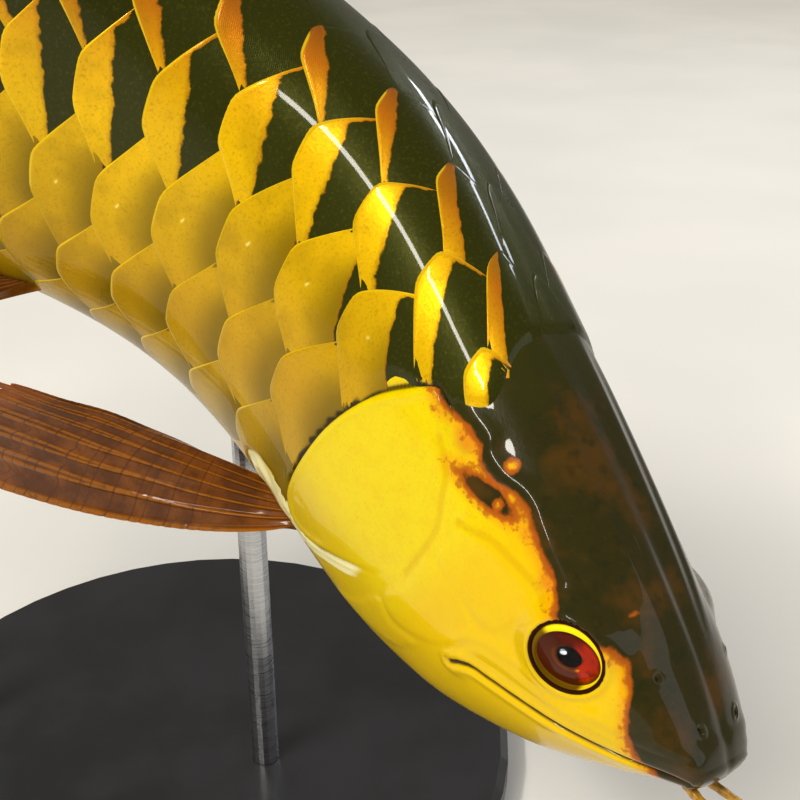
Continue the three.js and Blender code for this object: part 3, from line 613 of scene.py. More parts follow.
# Stainless steel rod, brushed round: fine streaks across its length
def brushedSteel():
    look = {
        "shading": {"Metallic": 1.0, "Anisotropic": 0.4},
        "streak": (8, 8, 0.4), "streakDetail": 3.0,  # size in mm along x, y and z
        "base": "#a9acb0",
        "layers": [("streaks", 0.3, 0.7, 1.0, "#c9cbcf")],
        "roughness": ("streaks", 0.24, 0.38), "relief": [("streaks", 0.02, 0.3)],
    }
    material, tree, shader, guides = startMaterial("brushedStainlessSteel", look["shading"], {}, {})
    place = addNode(tree, "TexCoord").outputs["Object"]
    scale = tuple(1 / (size * millimetre) for size in look["streak"])
    squeezed = addNode(tree, "Mapping", {"Scale": scale}, {"Vector": place})
    streaks = {"Scale": 1.0, "Detail": look["streakDetail"]}
    guides["streaks"] = addNode(tree, "TexNoise", streaks, {"Vector": squeezed}).outputs[0]
    colour = paintLayers(tree, guides, look["base"], look["layers"])
    finishMaterial(tree, shader, guides, colour, look)
    return material


# Pale matt screed: a plain floor with broad faint clouds
def paleFloor():
    look = {
        "shading": {"Specular IOR Level": 0.3},
        "grains": {"cloud": (300, 2), "grain": (3, 3)},
        "base": "#e3e2df",
        "layers": [("cloud", 0.3, 0.7, 1.0, "#e9e7e4")],
        "roughness": ("cloud", 0.55, 0.65), "relief": [("grain", 0.02, 0.2)],
    }
    return plainFinish("paleStudioFloor", look, {})


# Head relief and its marks, drawn in (s, z) as seen from the side
operculumOutline = [
    (104, 36.5), (109.5, 36.8), (114.5, 29), (119, 19.7), (122, 9.5), (124, -3), (124.5, -17),
    (124.2, -31), (122.5, -38.5), (117.5, -43.5), (110, -42), (101, -34.5), (93, -26), (86.5, -18),
    (81.5, -9), (79, 3), (80, 13.5), (85, 20.5), (92, 27.5), (98.5, 33),
]
cheekOutlines = [
    [(51, 20), (52, 32), (60, 33), (70, 29), (78, 23.5), (76.5, 18), (74.5, 10), (62, 10.5), (53, 13)],
    [(56, 8.5), (74.8, 7.5), (75.5, -6), (78.5, -19), (72, -21), (63, -14), (57, -4)],
    [(63, -18), (72, -24), (79.5, -22), (85, -36), (93, -46), (80, -41), (68, -31)],
]
mouthLine = [(-6, 33.2), (4, 28.5), (16, 19.5), (30, 10), (44, 1.5), (50, -2.5), (53.5, -8)]
maxillaLine = [(4, 36), (12, 30), (22, 23.5), (34, 17), (45, 11.5), (52, 6), (54, -1), (51, -6)]
creaseLines = [
    [(99, 30.6), (91, 26.9), (86, 20.8), (81, 14.5), (79, 5.1), (78, -4.1)],
    [(79, 22.2), (75, 24.5), (70, 28.2), (63, 30.5), (56, 32.2), (51, 32.7)],
]
membraneLine = [(126, -44), (119, -47.5), (110, -45.5), (102, -38), (94, -30), (87, -22), (81, -14)]
goldTop = [
    (0, 25), (8, 27), (16, 31), (23, 37.5), (28, 40.3), (32, 40.8), (36, 40), (39, 37.5), (44, 36),
    (48, 36), (53, 37.4), (58, 38), (65, 39.2), (71, 40.4), (76, 39.8), (81, 37.6), (87, 37), (91, 39.2),
    (96, 38.8), (101, 37.6), (106, 36.8), (112, 38), (125, 41), (150, 44),
]
head = {
    "far": 60.0,  # mm, stands for the distance of what lies behind the head
    # relief along a line: its place beside it and its width in mm, and its rise
    "gillLip": (1.6, 1.2, 0.35), "gillGroove": (-1.2, 0.9, -0.7), "maxilla": (1.5, 2.4, 0.6),
    "lip": (2.0, 1.4, 0.6), "mouthSlit": (0.0, 0.75, -1.4), "crease": (0.0, 0.9, -0.22),
    "brow": (-2.2, 2.6, 0.9), "roofRidge": (0.0, 2.2, 0.55), "midline": (0.0, 2.0, -0.35),
    "roofRidgesAt": (0.9, 0.955),  # u
    # plates that stand up inside their outline: rise, and where it starts and ends in mm
    "cover": (1.0, -0.5, 0.8), "cheekPlate": (0.35, -1.2, 1.2),
    # between which s such relief comes in, and between which it goes out
    "coverIn": (80, 106), "gillIn": (97, 106), "browIn": (28, 46), "browOut": (112, 92),
    "skullIn": (20, 45), "skullOut": (118, 90), "midlineOut": (110, 85),
    # pleated gill membrane: half width outside and inside, where it slips under the cover
    "membrane": (3.6, 2.16), "membraneUnder": (0.6, -0.6), "membraneIn": (84, 94),
    "pleat": 1.7, "pleatRise": 0.3,
    "shoulder": (134.0, -50.0, 13.0, 8.0),  # bare skin over the pectoral fin: s, z, half axes
    "shoulderEdge": (1.12, 0.92), "shoulderUnder": (0.4, -0.4),
    "shoulderRise": 0.4, "shoulderFolds": (7, 21),  # size in mm, and seed
    "nostrils": [(9.0, 0.84, 1.0), (23.0, 0.80, 0.8)],  # s, u, radius
    "naresDepth": 1.3, "naresFloor": 0.4,
    "naresRim": (1.35, 0.5, 0.3),  # its radius to the opening's, width and rise
    "templePatch": (79.4, 33.6, -21.0, 8.0, 2.4),  # s, z, tilt in degrees, half length, half width
    "templeSpot": (76.2, 34.6, 1.5),  # a light spot in it: s, z, radius
    "islands": [(82.0, 42.3, 2.0), (38.0, 45.5, 0.6)],  # gold in the dark: s, z, radius
    "crisp": (1.6, 1.5),  # edges of the patch and of the islands against the gold's own
    # orange tints: s, z, radius, strength
    "warmSpots": [
        (94, 37, 7, 1.0), (54, 36, 4, 1.0), (66, 37, 3.5, 0.7), (83, 38, 5, 0.9), (104, 35, 5, 0.5)],
    "warmSpread": 0.75,
    # the first of these dark lines is a painted shadow under the gill cover's free edge
    "gillShadowLine": (-0.9, 0.95, 1.0), "creaseLine": (0.0, 1.1, 1.0),  # dark lines: place, width, strength
}


# An edge by share of the half girth, so that distances from it are true on the skin
def shareOfEdge(curve, steps=400):
    shares = np.linspace(0, 1, steps)
    heights = [sectionAt(np.full(steps, s), shares)[:, 1] for s, _ in curve]
    return np.array([(s, np.interp(z, up, shares)) for (s, z), up in zip(curve, heights)])


goldShare = shareOfEdge(smoothCurve(goldTop, False, 6))


def shoulderShare(s, z):
    s0, z0, long, high = head["shoulder"]
    return smoothStep(np.hypot((s - s0) / long, (z - z0) / high), *head["shoulderEdge"])


def ridge(distance, place, width, rise):
    return rise * bump(distance - place, width)


# Relief of the head on the skin at s and u, and the marks that its colours follow
def headForm(s, u):
    at = sectionAt(s, u)
    flat = np.stack([s, at[:, 1]], axis=1)
    onHead = s < skin["headRows"]

    # from the nearest of some lines, or into the nearest of some outlines
    def distanceTo(lines, closed=False, steps=6):
        found = [lineDistance(flat[onHead], smoothCurve(line, closed, steps), closed) for line in lines]
        whole = np.full(len(s), -head["far"] if closed else head["far"])
        whole[onHead] = np.max(found, axis=0) if closed else np.min(found, axis=0)
        return whole

    gill, cheek = distanceTo([operculumOutline], True), distanceTo(cheekOutlines, True, 5)
    mouth, maxilla, crease = distanceTo([mouthLine]), distanceTo([maxillaLine]), distanceTo(creaseLines)
    membraneMm = distanceTo([membraneLine])
    goldMm = (np.interp(s, goldShare[:, 0], goldShare[:, 1]) - u) * at[:, 4]

    # the gill cover is free behind and above, and runs into the cheek in front
    behind = smoothStep(s, *head["gillIn"])
    rise, start, end = head["cover"]
    lift = rise * smoothStep(gill, start, end) * smoothStep(s, *head["coverIn"])
    lift += (ridge(gill, *head["gillLip"]) + ridge(gill, *head["gillGroove"])) * behind
    rise, start, end = head["cheekPlate"]
    lift += rise * smoothStep(cheek, start, end)
    lift += ridge(maxilla, *head["maxilla"]) + ridge(mouth, *head["lip"])
    lift += ridge(mouth, *head["mouthSlit"]) + ridge(crease, *head["crease"])

    # brow ridge along the edge of the dark roof, low ridges of the skull and a dip between them
    onRoof = smoothStep(s, *head["browIn"]) * smoothStep(s, *head["browOut"])
    lift += ridge(goldMm, *head["brow"]) * onRoof
    skull = smoothStep(s, *head["skullIn"]) * smoothStep(s, *head["skullOut"])
    for share in head["roofRidgesAt"]:
        lift += ridge((u - share) * at[:, 4], *head["roofRidge"]) * skull
    lift += ridge((1 - u) * at[:, 4], *head["midline"]) * smoothStep(s, *head["midlineOut"])

    # pleats of the gill membrane, bare shoulder and nostrils
    membrane = smoothStep(membraneMm, *head["membrane"])
    membrane *= smoothStep(gill, *head["membraneUnder"]) * smoothStep(s, *head["membraneIn"])
    lift += head["pleatRise"] * np.sin(2 * math.pi * membraneMm / head["pleat"]) * membrane
    bare = shoulderShare(s, at[:, 1]) * smoothStep(gill, *head["shoulderUnder"])
    lift += head["shoulderRise"] * waveNoise(flat, *head["shoulderFolds"]) * bare
    rim, width, rise = head["naresRim"]
    for place, share, radius in head["nostrils"]:
        d = np.hypot(s - place, (u - share) * at[:, 4])
        hole = smoothStep(d, radius, radius * head["naresFloor"])
        lift += ridge(d, radius * rim, width, rise) - head["naresDepth"] * hole

    # a dark patch at the temple, and gold islands in the dark
    s0, z0, tilt, long, high = head["templePatch"]
    ds, dz = s - s0, at[:, 1] - z0
    c, d = math.cos(math.radians(tilt)), math.sin(math.radians(tilt))
    outside = (np.hypot((ds * c + dz * d) / long, (dz * c - ds * d) / high) - 1) * high
    goldMm = np.minimum(goldMm, outside * head["crisp"][0])
    for s0, z0, radius in [*head["islands"], head["templeSpot"]]:
        goldMm = np.maximum(goldMm, (radius - np.hypot(s - s0, at[:, 1] - z0)) * head["crisp"][1])
    warm = np.zeros(len(s))
    for s0, z0, radius, most in head["warmSpots"]:
        spot = bump(np.hypot(s - s0, at[:, 1] - z0), radius * head["warmSpread"])
        warm = np.maximum(warm, most * spot)

    # the second mark is the painted shadow under the gill cover's edge
    marks = np.stack([goldMm, ridge(gill, *head["gillShadowLine"]) * behind, mouth], 1)
    tones = np.stack([np.maximum(membrane, bare), warm, ridge(crease, *head["creaseLine"])], 1)
    return lift, marks, tones


# Sunken orbit: radii are in mm beyond the rim's
orbit = {
    "within": 22,  # mm from the eye's axis that the skin may move
    "rise": 0.8, "rim": (1.0, 1.1),  # the rim's swelling: its place and width
    "pull": (6.5, 0.3),  # the skin is drawn up to the rim between these
    "socket": (0.35, -0.7), "depth": 5.0,
    # painted shade on the skin inside the rim: where it starts and where it is full
    "dark": (0.5, -0.3),
}


# Sinks the skin under the eye and raises the rim of its orbit; also gives the share of painted shade on the
# skin inside the orbit
def orbitShape(points, side):
    centre, out, _, _ = eyeAxes(side, eye["facing"])
    rel = points - centre
    height = rel @ out
    radius = np.linalg.norm(rel - height[:, None] * out, axis=1)
    near = (height > 0) & (radius < orbit["within"])
    beyond = radius - eye["rimRadius"]
    swelling = ridge(beyond, *orbit["rim"], orbit["rise"])
    moved = height + (eye["rimOut"] + swelling - height) * smoothStep(beyond, *orbit["pull"])
    sunk = eye["rimOut"] - orbit["depth"]
    moved = moved + (sunk - moved) * smoothStep(beyond, *orbit["socket"])
    shift = np.where(near, moved - height, 0)
    # share of painted shade inside the orbit
    inside = np.where(near, smoothStep(beyond, *orbit["dark"]), 0)
    return points + shift[:, None] * out, inside


skin = {
    "headStep": 0.62, "headRows": 152.0,  # mm between rings on the head, and how far back it reaches
    "trunkRows": 150, "pastTail": 2,
    "across": 132,  # cells from belly to back
    "eyesWithin": 80,  # mm from the snout
    "snoutRound": 2.6, "snoutRings": (0.15, 0.4, 0.65, 0.85, 0.97),  # mm, and sizes of its rings
    "snoutStep": 0.5,  # between them on the UV map, in mm
    "uvFrom": 0.02, "uvLength": 0.96, "uvBefore": 4, "uvBeyond": 10, "uvHalf": 0.48,
}


# One skin over head, trunk and tail
def makeSkin(material):
    headRows = np.arange(0, skin["headRows"], skin["headStep"])
    trunkEnd = body["length"] + skin["pastTail"]
    rows = np.concatenate([headRows, np.linspace(skin["headRows"], trunkEnd, skin["trunkRows"])])
    across = skin["across"]
    shares = np.linspace(0, 1, across + 1)
    around = np.concatenate([shares, shares[-2:0:-1]])
    side = np.concatenate([np.full(across + 1, -1), np.full(across - 1, 1)])
    count = len(around)
    s, u, k = np.repeat(rows, count), np.tile(around, len(rows)), np.tile(side, len(rows))
    lift, marks, tones = headForm(s, u)
    points = skinPoint(s, u, k, lift)
    # share of painted shade in the eye sockets
    socket = np.zeros(len(s))
    for value in sides.values():
        chosen = (k == value) & (s < skin["eyesWithin"])
        points[chosen], socket[chosen] = orbitShape(points[chosen], value)

    # rounded snout: shrunken rings in front of the first one
    ring = points[:count]
    middle = ring.mean(axis=0)
    caps = []
    for t in skin["snoutRings"]:
        bulge = np.array([skin["snoutRound"] * math.sqrt(1 - t * t), 0, 0])
        caps.append(middle + (ring - middle) * t + bulge)
    repeats = np.concatenate([np.tile(np.arange(count), len(caps)), np.arange(len(s))])
    points = np.vstack([*caps, points])
    values = {"mark": marks[repeats], "place": np.stack([s, u, socket], 1)[repeats], "tone": tones[repeats]}
    capRows = np.arange(len(caps), 0, -1) * skin["snoutStep"]
    ahead = np.concatenate([np.repeat(capRows, count), np.zeros(len(s))])
    backward = (s[repeats] - ahead + skin["uvBefore"]) / (body["length"] + skin["uvBeyond"])
    sideways = 0.5 - skin["uvHalf"] * (k * u)[repeats]
    uv = np.stack([skin["uvFrom"] + skin["uvLength"] * backward, sideways], 1)
    faces = tubeFaces(len(rows) + len(caps), count)
    settle(makePiece("skin", points, faces, material, values, uv), "head_bone",
           "head", "lower_jaw", "trunk_front", "trunk_middle", "trunk_rear", "tail_stalk",
           "operculum_left", "operculum_right")


# Scales on a lattice: row 0 along the belly, row 6 along the back
scales = {
    "rows": 12, "columns": 20,
    "firstPitch": 27.8, "lastPitch": 15.0,
    "firstColumn": 127.0, "slant": 8.0, "slantFades": 1.2,
    "height": 0.85, "lowest": 0.3,  # of the free edge over the skin, and its least share on the belly
    "bellyRows": (0.7, 1.7), "backRows": (4.8, 5.6), "flatBack": 0.45,
    "tailMm": (420, 560), "flatTail": 0.5,
    "thickness": 0.3,
    "along": 26, "across": 26,  # cells of one plate
    "finer": 0.85,  # under 1, its cells are shorter towards the free edge
    "napeBack": 108.0, "napeFlank": 12.0, "napeBelly": 3.0, "napeTemple": 10.0,
    "flankShares": (0.74, 0.66), "bellyShares": (0.3, 0.1), "temple": (0.8, 0.07),  # all by u
    "leastShown": 0.115,  # share of a plate outside the head, or it is left out
    "overlap": 0.13, "root": 1.75, "rootCurve": 0.35,  # its free edge and root, in pitches
    "corner": 0.28, "round": 0.008,  # the free edge is a rounded half hexagon
    "recede": (0.63, 0.55),  # how far its upper and lower corners lie forward, in pitches
    "widths": ([0, 0.3, 0.62, 1], [0.55, 0.86, 0.9, 0.74]),  # from root to edge, in rows
    "halfWidth": 54, "edgeWidth": 1.2,  # for the distance from its side edges, in mm
    "foot": 0.1, "lowRoot": 0.1, "slope": 1.05, "crown": 0.45,  # how it rises from root to edge
    "bead": (1.0, 0.8, 0.12), "bevel": (0.0, 0.45, -0.22),  # rims by place, width and rise
    "nearHead": 160, "hideNape": 2.6, "hideGill": (-1.0, 1.6), "hideDepth": 0.9,
    "gillShadow": (-1.2, -0.6), "shadowHeights": (-44, -20),
    "behindHead": (170, 122), "lessBehindHead": (1.6, 0.25),  # gold, at the corner and in all
    "wave": 4,  # of the free edge
    "poreAt": 0.42,  # on the lateral row, share of the pitch in front of the free edge
    # the pale dot at the lateral-line pore is a painted glint: its width in mm, and mm to a row across
    "poreGlint": 0.9, "rowMm": 22,
    # the light rim along the free edge is partly a painted highlight
    "backRimHighlight": (6, 5.0, 5.5),  # no light rim on the back: mm, between two rows
    "uvCell": 0.96, "uvTop": 0.94, "uvWall": 0.01, "uvUnder": 0.97, "uvShift": 2.5, "uvColumns": 26,
    "pieces": {"front": (-9, 2.9), "middle": (2.9, 7.9), "hind": (7.9, 13.9), "rear": (13.9, 99)},
    "before": 2, "after": 3, "pastTail": 6,  # columns tried past both ends, mm past the tail's root
    "seed": 11,
    # how one plate differs from the next, in the order in which they are drawn
    "draws": {"edge": (0, 0.012), "phase": (0, 6.3), "tilt": (-0.02, 0.02), "lift": (-0.05, 0.12),
              "seed": (0, 1), "gold": (-1.5, 1.5)},
}
rowRise = tableCurve([[100, 0.18], [135, 0.155], [165, 0.078], [195, 0.02], [220, -0.045], [250, -0.095],
                      [300, -0.07], [360, -0.05], [450, 0], [600, 0]], 1)
rowSwell = tableCurve([[100, -0.01], [200, 0.055], [300, 0.015], [560, 0.005]], 1)
# row, depth of its gold in mm at the scale's middle, how much less at its upper corner, and the
# least width of gold along the free edge
goldByRow = np.array([[0, 60, 0, 3], [2, 60, 0, 3], [3, 30, 5, 3], [4, 13, 5, 2.6], [5, 6, 10, -1.5],
                      [6, -6, 0, -4]])


def rowGirth(row, s):
    half = scales["rows"] / 2
    phase = math.pi * row / half
    return row / half + rowRise(s) * np.sin(phase) - rowSwell(s) * np.sin(2 * phase)


def columnAt(column, row):
    drop = (scales["firstPitch"] - scales["lastPitch"]) / scales["columns"]
    s = scales["firstColumn"] + scales["firstPitch"] * column - 0.5 * drop * column**2
    slant = scales["slant"] * np.clip(scales["slantFades"] - s / body["length"], 0, 1)
    return s + slant * (row - scales["rows"] / 4)


# How far the free edge stands off the skin: flatter on belly, back and tail
def edgeHeight(row, s):
    belly = smoothStep(row, *scales["bellyRows"])
    back = 1 - scales["flatBack"] * smoothStep(row, *scales["backRows"])
    tail = 1 - scales["flatTail"] * smoothStep(s, *scales["tailMm"])
    low = scales["lowest"]
    return scales["height"] * (low + (1 - low) * belly * back) * tail


# Where the head's skin ends and the scales begin
def napeEdge(u):
    flank = scales["napeFlank"] * smoothStep(u, *scales["flankShares"])
    belly = scales["napeBelly"] * smoothStep(u, *scales["bellyShares"])
    place, width = scales["temple"]
    return scales["napeBack"] + flank + belly - scales["napeTemple"] * bump(u - place, width)


# Top and bottom of one scale, with its marks; turn counts rows round the body
def platePoints(column, turn, draw):
    t = np.linspace(0, 1, scales["along"] + 1) ** scales["finer"]
    q = np.linspace(-1, 1, scales["across"] + 1)
    t, q = (v.ravel() for v in np.meshgrid(t, q, indexing="ij"))
    beyond = np.abs(q) - scales["corner"]
    slant = (np.sqrt(beyond**2 + scales["round"]) + beyond) / (2 * (1 - scales["corner"]))
    width = np.interp(t, *scales["widths"])
    dr = q * width + draw["tilt"] * (t - 0.5)
    wrapped = np.mod(turn + dr, scales["rows"])
    half = scales["rows"] / 2
    side = np.where(wrapped <= half, -1, 1)
    row = np.where(wrapped <= half, wrapped, scales["rows"] - wrapped)
    ownRow = min(turn, scales["rows"] - turn)
    recede = np.where(row >= ownRow, *scales["recede"])
    overlap, rootReach = scales["overlap"], scales["root"]
    edge = overlap - recede * slant + draw["edge"] * np.sin(scales["wave"] * q + draw["phase"])
    root = scales["rootCurve"] * q**2 - rootReach
    dc = root + (edge - root) * t
    s = columnAt(column + dc, row)
    u = rowGirth(row, s)
    pitch = columnAt(column, row) - columnAt(column - 1, row)
    fromSides = scales["halfWidth"] * (1 - np.abs(q)) + scales["edgeWidth"]
    fromEdge = np.minimum((edge - dc) * pitch, fromSides)
    high = edgeHeight(row, s)
    slope = np.clip((dc + rootReach) / (rootReach + overlap), 0, 1)
    crown = scales["crown"] * (1 - q**2) * np.sin(math.pi * slope) * high
    rim = ridge(fromEdge, *scales["bead"]) + ridge(fromEdge, *scales["bevel"])
    rise = scales["lowRoot"] + scales["slope"] * slope + rim + draw["lift"] * slope
    lift = scales["foot"] + high * rise + crown

    # under the skin's edge at the nape, under the gill cover and at the bare shoulder
    z = sectionAt(s, u)[:, 1]
    nape = napeEdge(u)
    hidden = smoothStep(s, nape + scales["hideNape"], nape - scales["hideNape"])
    shadow = np.zeros(len(s))
    if s.min() < scales["nearHead"]:
        outline = smoothCurve(operculumOutline, True, 4)
        gill = lineDistance(np.stack([s, z], 1), outline, True)
        hidden = np.maximum(hidden, smoothStep(gill, *scales["hideGill"]))
        shadow = smoothStep(gill, *scales["gillShadow"]) * smoothStep(z, *scales["shadowHeights"])
        hidden = np.maximum(hidden, shoulderShare(s, z))
    lift = lift - (lift + scales["hideDepth"]) * hidden
    top = skinPoint(s, u, side, lift)
    bottom = skinPoint(s, u, side, lift - scales["thickness"])

    # gold at the free edge, less of it on the first scales behind the head
    near = smoothStep(s, *scales["behindHead"])
    depth, less, rimWidth = (np.interp(ownRow, goldByRow[:, 0], goldByRow[:, k]) for k in (1, 2, 3))
    atCorner, inAll = scales["lessBehindHead"]
    less = less * (1 + atCorner * near) * (row - ownRow) / scales["widths"][1][-1]
    depth = depth * (1 - inAll * near) - less + draw["gold"]
    goldMm = np.maximum(depth - (overlap - dc) * pitch, rimWidth - fromEdge)
    # a painted glint at each lateral-line pore
    fromPore = np.hypot(fromEdge - scales["poreAt"] * pitch, dr * scales["rowMm"])
    poreGlint = bump(fromPore, scales["poreGlint"]) * (ownRow == half / 2)
    mark = np.stack([goldMm, fromEdge, np.full(len(s), draw["seed"])], 1)
    place = np.stack([s, row / half, poreGlint], 1)
    # light rim along the free edge, partly a painted highlight; none on the back rows
    noRim, *backRows = scales["backRimHighlight"]
    rimHighlightMm = fromEdge + noRim * smoothStep(row, *backRows)
    tone = np.stack([rimHighlightMm, smoothStep(goldMm, 0, -1), shadow], 1)
    return top, bottom, mark, place, tone, hidden


# Grid on top, walls round it, and a closing fan below
def plateFaces():
    n, m = scales["along"] + 1, scales["across"] + 1
    border = gridBorder(n, m)
    count = len(border)
    low, following = n * m + np.arange(count), n * m + np.roll(np.arange(count), -1)
    walls = np.stack([border, np.roll(border, -1), following, low], 1)
    fan = np.stack([low, following, np.full(count, n * m + count)], 1)
    return gridFaces(n, m), walls, fan, border


def makeScales(material):
    random = np.random.default_rng(scales["seed"])
    top, walls, fan, border = plateFaces()
    shares = (np.linspace(0, 1, scales[key] + 1) for key in ("along", "across"))
    a, b = (v.ravel() * scales["uvTop"] for v in np.meshgrid(*shares, indexing="ij"))
    across, beside = (np.concatenate([v, v[border] + scales["uvWall"], [scales["uvUnder"]]]) for v in (a, b))
    store = {key: [] for key in scales["pieces"]}
    for turn in range(scales["rows"]):
        shift = 0.5 if turn % 2 else 0.0
        for column in np.arange(shift - scales["before"], scales["columns"] + scales["after"]):
            draw = {key: random.uniform(*span) for key, span in scales["draws"].items()}
            tip = columnAt(column + scales["overlap"], min(turn, scales["rows"] - turn))
            if tip > body["length"] + scales["pastTail"]:
                continue
            upper, lower, *values, hidden = platePoints(column, turn, draw)
            if np.mean(hidden < 0.5) < scales["leastShown"]:
                continue
            points = np.vstack([upper, lower[border], lower.mean(axis=0)])
            values = [np.vstack([v, v[border], v[border].mean(0)]) for v in values]
            along = (column + scales["uvShift"] + across * scales["uvCell"]) / scales["uvColumns"]
            uv = np.stack([along, (turn + beside * scales["uvCell"]) / scales["rows"]], 1)
            key = next(k for k, (low, high) in scales["pieces"].items() if low <= column < high)
            store[key].append((points, *values, uv))
    for key, plates in store.items():
        starts = np.arange(len(plates))[:, None, None] * len(plates[0][0])
        faces = [(f[None] + starts).reshape(-1, f.shape[1]) for f in (top, walls, fan)]
        points, mark, place, tone, uv = (np.vstack([plate[k] for plate in plates]) for k in range(5))
        values = {"mark": mark, "place": place, "tone": tone}
        settle(makePiece(f"scales_{key}", points, faces, material, values, uv, turn=True), "scales_gold")
        triangles = sum(len(f) * (f.shape[1] - 2) for f in faces)
        print("scales", key, len(plates), "plates", triangles, "triangles")


finShared = {
    "cells": 12,  # from one ray to the next
    # rays split twice on the way out, and the leading one less
    "fork": 0.17, "forkFrom": (0.35, 0.75), "twig": 0.075, "twigFrom": (0.7, 0.95), "firstFork": 0.3,
    "rayWidth": 0.15, "rayNarrows": 0.62, "tip": 0.6, "firstThick": 1.35,
    "notch": 0.05, "notchFrom": (0.5, 1), "notchWidth": 0.34, "notchPower": 4,  # between two rays
    "fray": 0.012, "frayFrom": (0.7, 1), "frayGrain": (3, 2.0, 5),  # waves to a ray, size, seed
    "jointFrom": (0.15, 0.3), "jointPower": 6, "jointDip": 0.25,
    "ripple": 0.35, "rippleFrom": (0.1, 0.5), "rippleGrain": (60, 18, 3),  # breadth, size, seed
    "beside": 0.004,  # how far off its surface's direction is measured, in a and b
}


# Fins: place(a, b) gives a point for a along the root and b outward; rays split towards the edge
def finPiece(name, place, fin, material, node):
    rows, columns = fin["steps"] + 1, (fin["rays"] - 1) * fin["cells"] + 1
    a, b = (v.ravel() for v in np.meshgrid(np.linspace(0, 1, columns), np.linspace(0, 1, rows)))
    phase = a * (fin["rays"] - 1)
    first = np.round(phase) == 0
    off = np.abs(phase - np.round(phase))
    fork = fin["fork"] * smoothStep(b, *fin["forkFrom"]) * np.where(first, fin["firstFork"], 1.0)
    twig = fin["twig"] * smoothStep(b, *fin["twigFrom"])
    nearest = np.abs(np.abs(off - fork) - twig)
    profile = bump(nearest, fin["rayWidth"] * (1 - fin["rayNarrows"] * b))
    hollow = 1 - np.exp(-((off / fin["notchWidth"]) ** fin["notchPower"]))
    notched = 1 - fin["notch"] * hollow * smoothStep(b, *fin["notchFrom"])
    waves, size, seed = fin["frayGrain"]
    fray = waveNoise(np.stack([phase * waves, np.zeros(len(a))], 1), size, seed)
    reach = b * notched * (1 - fin["fray"] * fray * smoothStep(b, *fin["frayFrom"]))

    centre = place(a, reach)
    step = fin["beside"]
    sideways = place(np.minimum(1, a + step), reach) - place(np.maximum(0, a - step), reach)
    outward = place(a, reach + step) - place(a, np.maximum(0, reach - step))
    normal = np.cross(sideways, outward)
    normal /= np.linalg.norm(normal, axis=1)[:, None]

    rayThick = (fin["root"] + (fin["tip"] - fin["root"]) * b) * np.where(first, fin["firstThick"], 1)
    webThick = fin["web"][0] + (fin["web"][1] - fin["web"][0]) * b
    joint = (0.5 + 0.5 * np.cos(b * fin["joints"] * 2 * math.pi)) ** fin["jointPower"]
    joint *= smoothStep(b, *fin["jointFrom"])
    half = 0.5 * (webThick + (rayThick - webThick) * profile * (1 - fin["jointDip"] * joint))
    half = np.maximum(half, fin["web"][1] / 2)
    breadth, size, seed = fin["rippleGrain"]
    ripple = fin["ripple"] * waveNoise(np.stack([a * breadth, b * breadth], 1), size, seed)
    ripple *= smoothStep(b, *fin["rippleFrom"])
    points = np.vstack([centre + normal * offset[:, None] for offset in (half + ripple, ripple - half)])

    face, border, count = gridFaces(rows, columns), gridBorder(rows, columns), rows * columns
    following = np.roll(border, -1)
    walls = np.stack([border, border + count, following + count, following], 1)
    values = {"mark": np.tile(np.stack([profile, b, joint], 1), (2, 1))}
    piece = makePiece(name, points, [face[:, ::-1], face + count, walls[:, ::-1]], material, values)
    settle(piece, "fin", node)


# from, to: along the body; lean: of first and last ray, in degrees; lengths: first, longest, last
medianShared = finShared | {"curl": 14, "rounding": (0.12, 0.95, 0.6), "ends": 0.8, "swayWave": (5, 1.0)}
medianFins = {
    "dorsal": medianShared | {
        "from": 424, "to": 524, "top": True, "rays": 19, "steps": 80, "root": 2.6, "web": (1.1, 0.36),
        "joints": 14, "lean": (34, 68), "lengths": (40, 58, 42), "sway": 5, "sunk": 5},
    "anal": medianShared | {
        "from": 342, "to": 516, "top": False, "rays": 27, "steps": 76, "cells": 11, "root": 2.6,
        "web": (1.1, 0.36), "joints": 13, "lean": (48, 70), "lengths": (34, 52, 40), "sway": 7, "sunk": 5},
}


def medianFin(name, fin, material):
    def place(a, b):
        s = fin["from"] + (fin["to"] - fin["from"]) * a
        edge = backHeight(s) if fin["top"] else bellyDepth(s)
        angle = np.radians(fin["lean"][0] + (fin["lean"][1] - fin["lean"][0]) * a + fin["curl"] * b * b)
        start, span, power = fin["rounding"]
        rounding = np.sin(math.pi * np.minimum(1, start + span * a)) ** power
        first, longest, last = fin["lengths"]
        end = fin["ends"] * (first + (last - first) * a)
        length = end + (longest - end) * rounding + fin["sunk"]
        out = b * length - fin["sunk"]
        wave = fin["sway"] * b * b * np.sin(fin["swayWave"][0] * a + fin["swayWave"][1])
        up = 1 if fin["top"] else -1
        return bent(s + out * np.sin(angle), wave, edge + up * out * np.cos(angle))

    finPiece(f"{name}_membrane", place, fin, material, f"{name}_fin")


tailFan = finShared | {
    "rays": 17, "steps": 100, "root": 3.2, "web": (1.8, 0.36), "notch": 0.035, "joints": 22, "sunk": 4,
    "spread": 50, "closes": 0.25,  # degrees to each side, and how much less at the edge
    "length": 84, "shorter": 20, "roundness": 2.2,  # outer rays are shorter
    "halfRoot": 22, "sway": 5, "swayWave": (2.2, 0.4)}


def tailFin(fin, material):
    def place(a, b):
        spread = 2 * a - 1
        length = fin["length"] - fin["shorter"] * np.abs(spread) ** fin["roundness"]
        out = b * (length + fin["sunk"]) - fin["sunk"]
        angle = np.radians(fin["spread"] * spread) * (1 - fin["closes"] * b)
        wave = fin["sway"] * b * b * np.sin(fin["swayWave"][0] * a + fin["swayWave"][1])
        s = body["length"] + out * np.cos(angle)
        return bent(s, wave, -fin["halfRoot"] * spread - out * np.sin(angle))

    finPiece("caudal_membrane", place, fin, material, "caudal_fin")


